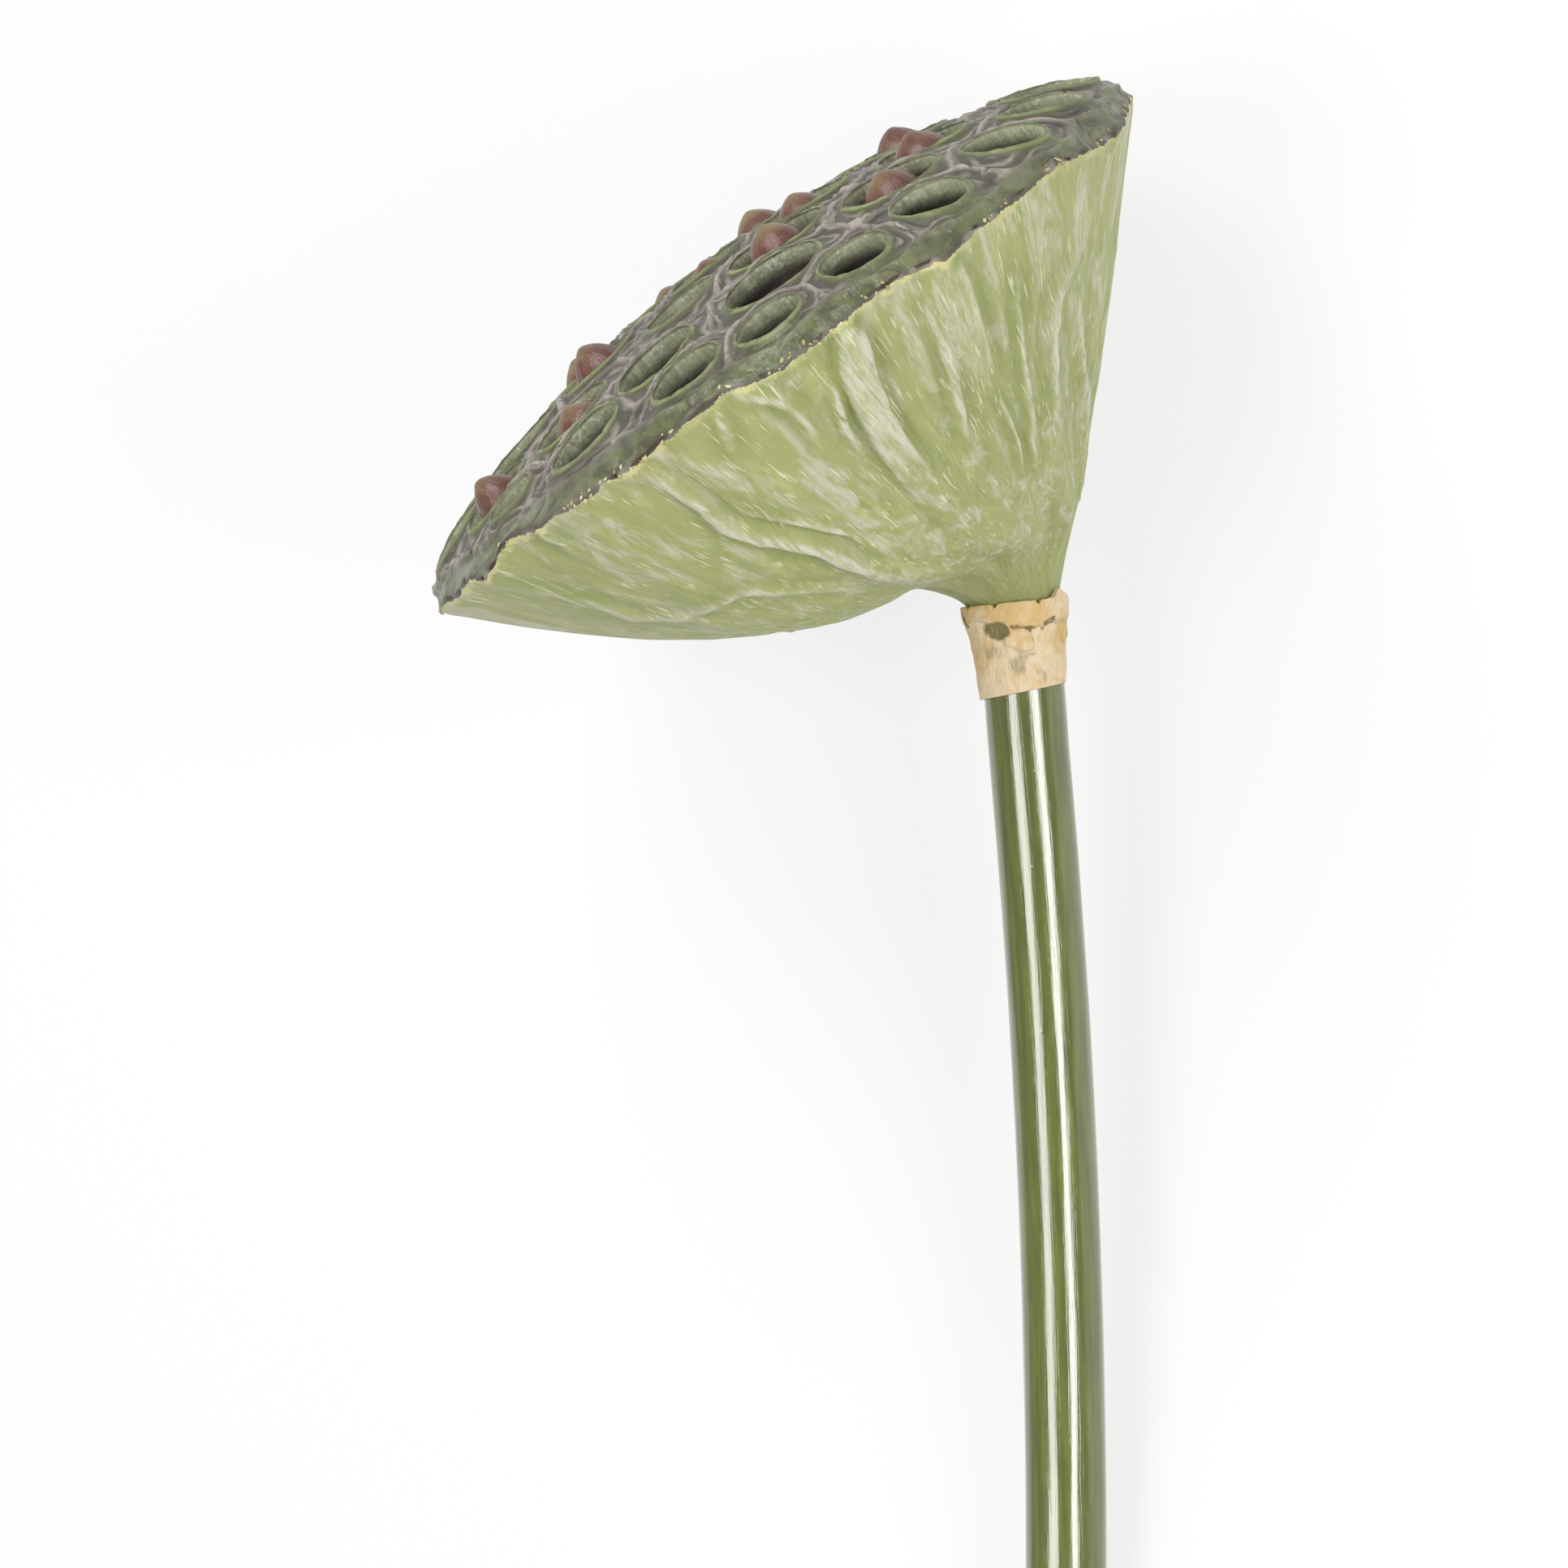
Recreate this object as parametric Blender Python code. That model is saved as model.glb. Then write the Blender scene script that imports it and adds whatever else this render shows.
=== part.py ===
"""A lotus seed pod on its cut stem, lying on its side as it rests on a table.

The pod is shaped as it grew, upright, with its neck at the origin: +X to the
right, +Y away from the viewer and +Z up. It is then laid down on three low
points, the two ends of the rim's flattened side and the stem's cut end, with
the table at z = 0 and the stem pointing along -Y.
"""

import random
from itertools import combinations
from math import atan2, cos, exp, hypot, pi, radians, sin, sqrt, tau

import bmesh
import bpy
from mathutils import Matrix, Vector
from mathutils.geometry import delaunay_2d_cdt

MM = 0.001
GAP = 0.3 * MM  # between pieces that touch

# The face of the pod, a domed disc with a sharp rim
FACE_RADIUS = 53.2 * MM
FACE_CENTRE = Vector((-28.0, -3.6, 30.0)) * MM  # from the neck
FACE_LEAN = radians(37.2)  # of the face's normal towards -X
FACE_NOD = radians(5)  # of the face's normal towards the viewer
DOME_HEIGHT = 14.3 * MM
RIM_SEGMENTS = 80
MARGIN_SHARE = 0.978  # radius of the ring just inside the rim
RIM_WAVE = 0.35 * MM
RIM_LIFT = 5.4 * MM  # how far the rim rises on the viewer's side
LIFT_AT = radians(-116)
LIFT_SPREAD = radians(88)
LIFT_FADE = 12  # power of the radius with which the lift dies away inwards

# The side of the rim that the pod lies on, flattened between two low corners
REST_SIDE = radians(72)
REST_HALF_ANGLE = radians(22.5)

# Seed pits, in rings: how many, share of the face's radius, first angle in
# degrees and mouth radius in millimetres
OUTER, MIDDLE, INNER, CENTRE = range(4)
PIT_RINGS = (
    (20, 0.850, -1.0, 5.0),
    (11, 0.620, -20.0, 6.2),
    (6, 0.310, -67.0, 6.0),
    (1, 0.000, 0.0, 5.4),
)
# Pits that stand off their ring: (ring, number) to (right, back) in
# millimetres and share of the ring's mouth radius
PIT_NUDGES = {
    (OUTER, 11): (4.4, -1.0, 0.96),
    (OUTER, 12): (-0.4, 3.6, 0.64),
    (OUTER, 13): (2.4, 4.4, 1.00),
    (OUTER, 14): (3.4, 0.4, 0.96),
    (OUTER, 15): (1.2, -0.8, 0.92),
    (OUTER, 16): (0.6, -1.2, 0.98),
    (OUTER, 17): (0.6, -1.0, 1.02),
    (OUTER, 18): (0.6, 0.2, 1.04),
    (MIDDLE, 0): (-2.0, 1.4, 0.92),
    (MIDDLE, 1): (-4.6, 1.0, 0.86),
    (MIDDLE, 5): (5.6, -1.6, 0.92),
    (MIDDLE, 7): (3.4, -2.6, 0.86),
    (MIDDLE, 8): (1.3, -1.0, 0.88),
    (MIDDLE, 9): (1.8, 0.0, 1.05),
    (MIDDLE, 10): (3.6, -0.8, 1.00),
    (INNER, 0): (0.9, -3.3, 1.08),
    (INNER, 1): (-3.4, 0.2, 0.95),
    (INNER, 2): (-2.2, 0.0, 0.95),
    (INNER, 4): (-2.6, -2.0, 0.85),
    (INNER, 5): (3.4, -0.3, 0.78),
    (CENTRE, 0): (-1.0, 2.6, 0.95),
}
PIT_JITTER = 0.5 * MM
PIT_WALL = 1.7 * MM  # least thickness between two mouths
SPREAD_STEPS = 40
PIT_SIDES = 12
PIT_DEPTH = 12.6 * MM
# Wall of a pit under its lip: share of the depth and share of the mouth radius
PIT_PROFILE = ((0.07, 1.00), (0.42, 1.07), (0.88, 0.74))
MOST_PIT_LEAN = radians(24)
LIP_HEIGHT = 0.9 * MM
LIP_WIDTH = 0.35 * MM
LIP_FOOT = 1.5 * MM  # how far the lip's slope reaches
NET_HEIGHT = 0.75 * MM  # the raised net between the pits
NET_WIDTH = 1.3 * MM

# The side of the pod: each meridian is one cubic curve from rim to neck
SIDE_STEPS = 11
RIM_HANDLE = 57.0 * MM
RIM_SLOPE = radians(45)
LIFTED_SLOPE = radians(16)  # steeper where the rim is lifted
NECK_HANDLE = 21.0 * MM
FLARE_LEFT, FLARE_RIGHT = 2.4, 0.07  # how far the neck spreads as it opens
BELLY_LEFT, BELLY_RIGHT = -1.6 * MM, 1.9 * MM  # swelling beyond the curve
BELLY_POWER = 1.55  # above 1, it swells nearer the neck
# Ribs down the side, as waves round it: how many, height in millimetres, phase
RIBS = ((13, 0.55, -0.6), (8, 0.35, 0.4), (21, 0.22, 1.3))

# The stem: a long arc that stands plumb at PLUMB_AT below the neck
STEM_RADIUS = 5.05 * MM
STEM_BEND_RADIUS = 1.11
STEM_PLUMB_AT = 119.0 * MM
STEM_LENGTH = 147.0 * MM  # from the neck to the cut end
STEM_SIDES = 24
STEM_STEPS = 12
STEM_CUT_SLANT = radians(7)

# The joint inside the collar
NECK_TOP = -0.6 * MM  # where the pod's side ends, just over the collar
NECK_TOP_RADIUS = 5.5 * MM
NECK_END = 3.0 * MM  # how far the pod goes down inside the collar
NECK_END_RADIUS = 5.0 * MM
TENON_RADIUS = 4.4 * MM  # of the stem inside the collar
COLLAR_SIDES = 36
COLLAR_WALL = 0.6 * MM
# Outline of the collar: distance down the stem and outer radius
COLLAR_PROFILE = ((0.0, 6.55), (2.4, 6.40), (2.8, 6.05), (5.6, 5.85), (8.4, 5.65), (10.7, 5.42))
COLLAR_SLANT = 0.5 * MM  # how much lower the bottom edge hangs on the left
COLLAR_TEAR = 0.7 * MM  # height of the torn tip on the top edge
TEAR_AT = radians(-25)
TEAR_SPREAD = radians(14)

# Seeds: pits that hold one, and how far each stands out past the lip
SEED_RADIUS = 4.7 * MM
SEED_SIDES = 12
SEED_CLEARANCE = 0.75 * MM
SEED_PROFILE = (
    (0.05, 0.36), (0.20, 0.74), (0.44, 1.00), (0.66, 0.95), (0.84, 0.78), (0.95, 0.52),
)
SEED_LEAN = radians(2)
SEEDED_PITS = {
    (OUTER, 11): 2.8, (MIDDLE, 0): 1.8, (MIDDLE, 1): 2.0, (MIDDLE, 5): 1.8,
    (MIDDLE, 7): 1.0, (MIDDLE, 10): 1.3, (INNER, 0): 2.1, (INNER, 1): 1.5,
    (INNER, 2): 2.0, (INNER, 3): 0.6, (INNER, 4): 2.8, (CENTRE, 0): 0.5,
    (OUTER, 2): 0.2, (OUTER, 4): 0.8, (OUTER, 7): 0.3, (MIDDLE, 3): 0.9,
    (MIDDLE, 4): 0.2, (OUTER, 9): -0.4,
}

FLAT_DEPTH = 0.45 * MM  # pressed flat where it touches the table

COLOURS = {
    "pod": ((0.36, 0.46, 0.17), 0.6),
    "stem": ((0.13, 0.20, 0.035), 0.2),
    "collar": ((0.68, 0.52, 0.29), 0.75),
    "seed": ((0.27, 0.11, 0.055), 0.4),
}

TILT = Matrix.Rotation(-FACE_LEAN, 4, "Y") @ Matrix.Rotation(FACE_NOD, 4, "X")
FACE = Matrix.Translation(FACE_CENTRE) @ TILT


def material(name):
    """A plain finish for one kind of piece."""
    colour, roughness = COLOURS[name]
    made = bpy.data.materials.new(name)
    made.use_nodes = True
    shader = made.node_tree.nodes["Principled BSDF"]
    shader.inputs["Base Color"].default_value = (*colour, 1.0)
    shader.inputs["Roughness"].default_value = roughness
    return made


def turned(angle):
    """An angle brought into -pi to pi."""
    return (angle + pi) % tau - pi


def rim_lift(angle):
    """How far the rim rises out of its plane, on the viewer's side."""
    share = min(1.0, abs(turned(angle - LIFT_AT)) / LIFT_SPREAD)
    return RIM_LIFT * 0.5 * (1 + cos(pi * share))


def rim_radius(angle):
    """A circle with small waves, flattened on the side that the pod lies on."""
    round_rim = FACE_RADIUS + RIM_WAVE * cos(17 * angle) + 0.5 * RIM_WAVE * sin(7 * angle)
    off = abs(turned(angle - REST_SIDE))
    if off > REST_HALF_ANGLE:
        return round_rim
    return FACE_RADIUS * cos(REST_HALF_ANGLE) / cos(off)


def dome(x, y):
    """Height of the face over its rim's plane, before pits and net."""
    angle = atan2(y, x)
    share = min(1.0, hypot(x, y) / rim_radius(angle))
    power = 2 - 0.4 * cos(angle) ** 2
    return DOME_HEIGHT * sqrt(1 - share**power) + rim_lift(angle) * share**LIFT_FADE


def outward(x, y):
    """The dome's unit normal, leaning no more than a pit may."""
    step = 0.5 * MM
    slope = Vector((dome(x - step, y) - dome(x + step, y), dome(x, y - step) - dome(x, y + step)))
    slope /= 2 * step
    lean = min(slope.length, sin(MOST_PIT_LEAN) / cos(MOST_PIT_LEAN))
    if slope.length > 0:
        slope = slope.normalized() * lean
    return Vector((slope.x, slope.y, 1)).normalized()


class Pit:
    """One seed pit: its place on the face, its mouth and its axis."""

    def __init__(self, key, x, y, mouth):
        self.key, self.x, self.y, self.mouth = key, x, y, mouth

    def distance(self, x, y):
        """From the pit's axis, on the flat plan of the face."""
        return hypot(x - self.x, y - self.y)


def pits():
    """Pits on their rings, nudged, then narrowed until each has its wall."""
    draw = random.Random(5)
    found = []
    for ring, (count, share, first, mouth) in enumerate(PIT_RINGS):
        for number in range(count):
            angle = radians(first) + number * tau / count
            right, back, size = PIT_NUDGES.get((ring, number), (0.0, 0.0, 1.0))
            reach = share * rim_radius(angle)
            x = reach * cos(angle) + right * MM
            y = reach * sin(angle) + back * MM
            if (ring, number) not in PIT_NUDGES:
                x += draw.uniform(-PIT_JITTER, PIT_JITTER)
                y += draw.uniform(-PIT_JITTER, PIT_JITTER)
                size = draw.uniform(0.88, 1.04)
            found.append(Pit((ring, number), x, y, mouth * size * MM))
    lips = 2 * LIP_WIDTH + PIT_WALL
    for _ in range(SPREAD_STEPS):
        for one, other in combinations(found, 2):
            apart = Vector((one.x - other.x, one.y - other.y))
            short = one.mouth + other.mouth + lips - apart.length
            if short > 0:
                push = apart.normalized() * short * 0.3
                one.x, one.y = one.x + push.x, one.y + push.y
                other.x, other.y = other.x - push.x, other.y - push.y
        for one in found:
            reach = hypot(one.x, one.y)
            most = rim_radius(atan2(one.y, one.x)) * MARGIN_SHARE - one.mouth - LIP_WIDTH - 0.6 * LIP_FOOT
            if reach > most:
                one.x, one.y = one.x * most / reach, one.y * most / reach
    for one, other in combinations(found, 2):
        both = one.mouth + other.mouth
        room = one.distance(other.x, other.y) - lips
        if both > room:
            one.mouth, other.mouth = one.mouth * room / both, other.mouth * room / both
    for one in found:
        edge = rim_radius(atan2(one.y, one.x)) * MARGIN_SHARE - hypot(one.x, one.y)
        one.mouth = min(one.mouth, edge - LIP_FOOT - LIP_WIDTH)
        one.axis = outward(one.x, one.y)
    return found


PITS = pits()


def face_height(x, y):
    """The dome with the lips of the pits and the net raised between them."""
    off = sorted(pit.distance(x, y) - pit.mouth - LIP_WIDTH for pit in PITS)
    lip = LIP_HEIGHT * max(0.0, 1 - max(0.0, off[0]) / LIP_FOOT)
    net = NET_HEIGHT * exp(-(((off[1] - off[0]) / NET_WIDTH) ** 2)) if off[0] > 0.5 * LIP_FOOT else 0.0
    inside = 1 - (hypot(x, y) / rim_radius(atan2(y, x))) ** 30
    return dome(x, y) + (lip + net) * max(0.0, inside)


def net_points():
    """Places on the raised net: where three pits meet, and midway between two."""
    centres = [Vector((pit.x, pit.y)) for pit in PITS]
    corners, _, cells, *_ = delaunay_2d_cdt(centres, [], [], 0, 1e-9)
    found = []
    for cell in cells:
        a, b, c = (corners[i] for i in cell)
        twice = 2 * (b - a).cross(c - a)
        if abs(twice) < 1e-9:
            continue
        to_b, to_c = b - a, c - a
        shift = Vector((
            to_c.y * to_b.length_squared - to_b.y * to_c.length_squared,
            to_b.x * to_c.length_squared - to_c.x * to_b.length_squared,
        ))
        found.append(a + shift / twice)
        for one, other in ((a, b), (b, c), (c, a)):
            found.append((one + other) / 2)
    return found


def clear_of_pits(point, least):
    return all(pit.distance(*point) - pit.mouth - LIP_WIDTH > least for pit in PITS)


def face_plan():
    """Points of the face on its flat plan, the loops to keep, and the fill."""
    points, loops = [], []

    def ring(ring_points):
        first = len(points)
        points.extend(ring_points)
        count = len(points) - first
        loops.extend((first + i, first + (i + 1) % count) for i in range(count))

    def around(x, y, radius):
        turns = [i * tau / PIT_SIDES for i in range(PIT_SIDES)]
        return [Vector((x + radius * cos(t), y + radius * sin(t))) for t in turns]

    for share in (1.0, MARGIN_SHARE):
        turns = [i * tau / RIM_SEGMENTS for i in range(RIM_SEGMENTS)]
        ring([Vector((cos(t), sin(t))) * rim_radius(t) * share for t in turns])
    for pit in PITS:
        ring(around(pit.x, pit.y, pit.mouth + LIP_WIDTH))
    for pit in PITS:
        for point in around(pit.x, pit.y, pit.mouth + LIP_WIDTH + LIP_FOOT):
            others = [p for p in PITS if p is not pit]
            nearest = min(p.distance(*point) - p.mouth - LIP_WIDTH for p in others)
            if nearest > 0.9 * LIP_FOOT:
                points.append(point)
    for point in net_points():
        inside = point.length < rim_radius(atan2(point.y, point.x)) * (MARGIN_SHARE - 0.02)
        apart = all((point - other).length > 1.0 * MM for other in points)
        if inside and apart and clear_of_pits(point, 0.6 * MM):
            points.append(point)
    return points, loops


def side_point(angle, share):
    """A point of the pod's side: share 0 is on the rim, 1 at the neck's end."""
    neck, up = stem_at(NECK_TOP)
    into_face = FACE.inverted().to_3x3()
    neck = FACE.inverted() @ neck
    up = into_face @ up
    across = Vector((up.z, 0, -up.x)).normalized()
    behind = up.cross(across)
    if behind.y < 0:
        behind = -behind
    start = Vector((rim_radius(angle) * cos(angle), rim_radius(angle) * sin(angle), rim_lift(angle)))
    end = neck + NECK_TOP_RADIUS * (cos(angle) * across + sin(angle) * behind)
    slope = RIM_SLOPE + LIFTED_SLOPE * rim_lift(angle) / RIM_LIFT
    inwards = Vector((-cos(angle) * cos(slope), -sin(angle) * cos(slope), -sin(slope)))
    rightness = 0.5 * (1 + cos(angle))
    flare = FLARE_RIGHT * rightness + FLARE_LEFT * (1 - rightness)
    opening = (up + flare * (end - neck).normalized()).normalized()
    controls = (start, start + RIM_HANDLE * inwards, end + NECK_HANDLE * opening, end)
    rest = 1 - share
    weights = (rest**3, 3 * rest**2 * share, 3 * rest * share**2, share**3)
    point = sum((w * c for w, c in zip(weights, controls)), Vector())
    rib = sum(height * cos(count * angle + phase) for count, height, phase in RIBS) * MM
    belly = BELLY_RIGHT * rightness + BELLY_LEFT * (1 - rightness)
    swell = belly * sin(pi * share**BELLY_POWER) + rib * sin(pi * share) ** 0.7
    return point + swell * Vector((cos(angle), sin(angle), -0.8)).normalized()


def stem_at(down):
    """(centre, upward direction) of the stem's line, at a distance below the neck."""
    from_plumb = min(0.0, down - STEM_PLUMB_AT)
    foot = STEM_PLUMB_AT**2 / (2 * STEM_BEND_RADIUS)
    centre = Vector((foot - from_plumb**2 / (2 * STEM_BEND_RADIUS), 0, -down))
    return centre, Vector((from_plumb / STEM_BEND_RADIUS, 0, 1)).normalized()


def ring_about(mesh, centre, up, radius, sides, slant=0.0):
    """A ring of vertices square to up, or cut at a slant from left to right."""
    across = Vector((up.z, 0, -up.x))
    turns = [i * tau / sides for i in range(sides)]
    return [
        mesh.verts.new(centre + radius * (cos(t) * across + Vector((0, sin(t), 0))) + up * slant * radius * cos(t))
        for t in turns
    ]


def bridge(mesh, upper, lower):
    """Quads between two rings of the same count, wound to face outwards."""
    count = len(upper)
    for i in range(count):
        j = (i + 1) % count
        mesh.faces.new((upper[i], lower[i], lower[j], upper[j]))


def finish(mesh, name, finish_name, sharp=40):
    """The mesh as an object, with its normals outwards and its flats sharp."""
    bmesh.ops.triangulate(mesh, faces=[f for f in mesh.faces if len(f.verts) > 4])
    bmesh.ops.recalc_face_normals(mesh, faces=mesh.faces[:])
    data = bpy.data.meshes.new(name)
    mesh.to_mesh(data)
    mesh.free()
    data.shade_smooth()
    data.set_sharp_from_angle(angle=radians(sharp))
    made = bpy.data.objects.new(name, data)
    made.data.materials.append(bpy.data.materials.get(finish_name) or material(finish_name))
    bpy.context.scene.collection.objects.link(made)
    return made


def sink_pit(mesh, pit, crest):
    """The wall and floor of a pit, hung from the crest of its lip."""
    centre = Vector((pit.x, pit.y, dome(pit.x, pit.y) + LIP_HEIGHT))
    across = Vector((1, 0, 0)) - pit.axis * pit.axis.x
    across.normalize()
    beside = pit.axis.cross(across)
    upper = crest
    for depth, width in PIT_PROFILE:
        middle = centre - pit.axis * depth * PIT_DEPTH
        lower = []
        for i in range(PIT_SIDES):
            t = i * tau / PIT_SIDES
            reach = width * pit.mouth * (cos(t) * across + sin(t) * beside)
            lower.append(mesh.verts.new(FACE @ (middle + reach)))
        bridge(mesh, upper, lower)
        upper = lower
    floor = mesh.verts.new(FACE @ (centre - pit.axis * PIT_DEPTH))
    for i in range(PIT_SIDES):
        mesh.faces.new((upper[i], floor, upper[(i + 1) % PIT_SIDES]))


def make_pod():
    """The spongy receptacle, in one piece: domed face, pits, side and neck."""
    mesh = bmesh.new()
    points, loops = face_plan()
    plan, _, cells, origins, *_ = delaunay_2d_cdt(points, loops, [], 1, 1e-9)
    verts = [mesh.verts.new(FACE @ Vector((p.x, p.y, face_height(p.x, p.y)))) for p in plan]
    placed = {source: verts[i] for i, sources in enumerate(origins) for source in sources}
    for cell in cells:
        middle = sum((plan[i] for i in cell), Vector((0, 0))) / len(cell)
        if clear_of_pits(middle, 0):
            mesh.faces.new([verts[i] for i in cell])
    for number, pit in enumerate(PITS):
        first = 2 * RIM_SEGMENTS + number * PIT_SIDES
        sink_pit(mesh, pit, [placed[first + i] for i in range(PIT_SIDES)])
    upper = [placed[i] for i in range(RIM_SEGMENTS)]
    for step in range(1, SIDE_STEPS + 1):
        share = step / SIDE_STEPS
        turns = [i * tau / RIM_SEGMENTS for i in range(RIM_SEGMENTS)]
        lower = [mesh.verts.new(FACE @ side_point(t, share)) for t in turns]
        bridge(mesh, upper, lower)
        upper = lower
    drop = stem_at(NECK_END)[0] - stem_at(NECK_TOP)[0]
    middle = stem_at(NECK_TOP)[0]
    share = NECK_END_RADIUS / NECK_TOP_RADIUS
    lower = [mesh.verts.new(middle + drop + share * (vert.co - middle)) for vert in upper]
    bridge(mesh, upper, lower)
    mesh.faces.new(lower)
    for vert in [v for v in mesh.verts if not v.link_faces]:
        mesh.verts.remove(vert)
    return finish(mesh, "pod", "pod")


def make_stem():
    """The smooth stem, with a thinner tenon that goes up into the collar."""
    mesh = bmesh.new()
    shoulder = (COLLAR_PROFILE[-1][0]) * MM + COLLAR_SLANT + GAP
    top = NECK_END + GAP
    heights = [(top, TENON_RADIUS), (shoulder, TENON_RADIUS), (shoulder + GAP, STEM_RADIUS)]
    for step in range(1, STEM_STEPS + 1):
        heights.append((shoulder + (STEM_LENGTH - shoulder) * step / STEM_STEPS, STEM_RADIUS))
    rings = []
    for number, (down, radius) in enumerate(heights):
        centre, up = stem_at(down)
        slant = sin(STEM_CUT_SLANT) if number == len(heights) - 1 else 0.0
        rings.append(ring_about(mesh, centre, up, radius, STEM_SIDES, slant))
    for upper, lower in zip(rings, rings[1:]):
        bridge(mesh, upper, lower)
    mesh.faces.new(rings[0])
    mesh.faces.new(rings[-1])
    return finish(mesh, "stem", "stem")


def collar_down(down, turn):
    """Where a ring of the collar runs: torn at the top, slanted at the bottom."""
    bottom = down / (COLLAR_PROFILE[-1][0] * MM)
    tear = COLLAR_TEAR * exp(-((turned(turn - TEAR_AT) / TEAR_SPREAD) ** 2))
    return down - tear * max(0.0, 1 - 4 * bottom) - COLLAR_SLANT * bottom * cos(turn)


def make_collar():
    """The papery ring left where petals and stamens grew, round the joint."""
    mesh = bmesh.new()
    turns = [i * tau / COLLAR_SIDES for i in range(COLLAR_SIDES)]

    def ring(down, radius):
        made = []
        for t in turns:
            centre, up = stem_at(collar_down(down, t))
            across = Vector((up.z, 0, -up.x))
            made.append(mesh.verts.new(centre + radius * (cos(t) * across + Vector((0, sin(t), 0)))))
        return made

    outer = [ring(down * MM, radius * MM) for down, radius in COLLAR_PROFILE]
    inner = [ring(down * MM, radius * MM - COLLAR_WALL) for down, radius in COLLAR_PROFILE]
    around = outer + inner[::-1] + outer[:1]
    for upper, lower in zip(around, around[1:]):
        bridge(mesh, upper, lower)
    return finish(mesh, "collar", "collar")


def make_seed(number, pit, stand_out):
    """A pointed nut standing in its pit with its tip outwards."""
    foot = Vector((pit.x, pit.y, dome(pit.x, pit.y) + LIP_HEIGHT)) - pit.axis * (PIT_DEPTH - GAP)
    length = PIT_DEPTH - GAP + stand_out * MM
    radius = min(SEED_RADIUS, pit.mouth - SEED_CLEARANCE)
    lean = Matrix.Rotation(-SEED_LEAN, 3, "Y")
    axis = (lean @ pit.axis).normalized()
    across = (Vector((1, 0, 0)) - axis * axis.x).normalized()
    beside = axis.cross(across)
    mesh = bmesh.new()
    tip = mesh.verts.new(FACE @ (foot + axis * length))
    base = mesh.verts.new(FACE @ foot)
    rings = []
    for along, width in SEED_PROFILE:
        middle = foot + axis * along * length
        turns = [i * tau / SEED_SIDES for i in range(SEED_SIDES)]
        rings.append([
            mesh.verts.new(FACE @ (middle + width * radius * (cos(t) * across + sin(t) * beside)))
            for t in turns
        ])
    for lower, upper in zip(rings, rings[1:]):
        bridge(mesh, upper, lower)
    for i in range(SEED_SIDES):
        j = (i + 1) % SEED_SIDES
        mesh.faces.new((rings[0][i], base, rings[0][j]))
        mesh.faces.new((tip, rings[-1][i], rings[-1][j]))
    return finish(mesh, f"seed_{number:02d}", "seed", sharp=80)


def under_side(stem):
    """The direction that faces the table: square to the three points it lies on."""
    corners = []
    for angle in (REST_SIDE - REST_HALF_ANGLE, REST_SIDE + REST_HALF_ANGLE):
        radius = rim_radius(angle)
        corners.append(FACE @ Vector((radius * cos(angle), radius * sin(angle), rim_lift(angle))))
    first, second = corners
    down = Vector((0, 1, 0))
    for _ in range(6):
        foot = max((v.co for v in stem.data.vertices), key=down.dot)
        down = (second - first).cross(foot - first).normalized()
        down *= 1 if down.y > 0 else -1
    return down


def lay_down(pieces, down):
    """Turns everything so that this direction faces down, and rests it on z = 0."""
    stem_way = Vector((0, 0, 1)) - down * down.z
    stem_way.normalize()
    turn = Matrix((stem_way.cross(-down), stem_way, -down)).to_4x4()
    for piece in pieces:
        piece.data.transform(turn)
    corners = [v.co for piece in pieces for v in piece.data.vertices]
    low = [min(c[i] for c in corners) for i in range(3)]
    high = [max(c[i] for c in corners) for i in range(3)]
    shift = Vector((-(low[0] + high[0]) / 2, -(low[1] + high[1]) / 2, -low[2] - FLAT_DEPTH))
    for piece in pieces:
        piece.data.transform(Matrix.Translation(shift))


def press_flat(piece):
    """Cuts away what would be under the table, which leaves a flat spot."""
    mesh = bmesh.new()
    mesh.from_mesh(piece.data)
    everything = mesh.verts[:] + mesh.edges[:] + mesh.faces[:]
    table = {"plane_co": (0, 0, 0), "plane_no": (0, 0, -1)}
    cut = bmesh.ops.bisect_plane(mesh, geom=everything, dist=1e-6, clear_outer=True, **table)
    rim = [e for e in cut["geom_cut"] if isinstance(e, bmesh.types.BMEdge)]
    bmesh.ops.edgeloop_fill(mesh, edges=rim)
    bmesh.ops.triangulate(mesh, faces=[f for f in mesh.faces if len(f.verts) > 4])
    mesh.to_mesh(piece.data)
    mesh.free()


def main():
    for old in list(bpy.data.objects):
        bpy.data.objects.remove(old)
    pod, stem, collar = make_pod(), make_stem(), make_collar()
    by_key = {pit.key: pit for pit in PITS}
    seeds = [
        make_seed(number, by_key[key], stand_out)
        for number, (key, stand_out) in enumerate(SEEDED_PITS.items(), start=1)
    ]
    lay_down([pod, stem, collar, *seeds], under_side(stem))
    for piece in (pod, stem):
        press_flat(piece)


main()
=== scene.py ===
"""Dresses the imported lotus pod: its flesh, seeds, collar and stem, and a pale studio round them.

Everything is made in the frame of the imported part. The pod's own forms are easier to give as
it grew, upright, in millimetres, with its neck at the origin, +X to the right, +Y away and +Z
up, so grown() and laid() go between the two.
"""

import random
from math import cos, pi, radians, sin, tau

import bmesh
import bpy
import numpy as np
from bpy.props import FloatProperty, FloatVectorProperty, IntProperty, PointerProperty
from mathutils import Matrix, Vector, kdtree, noise


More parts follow.
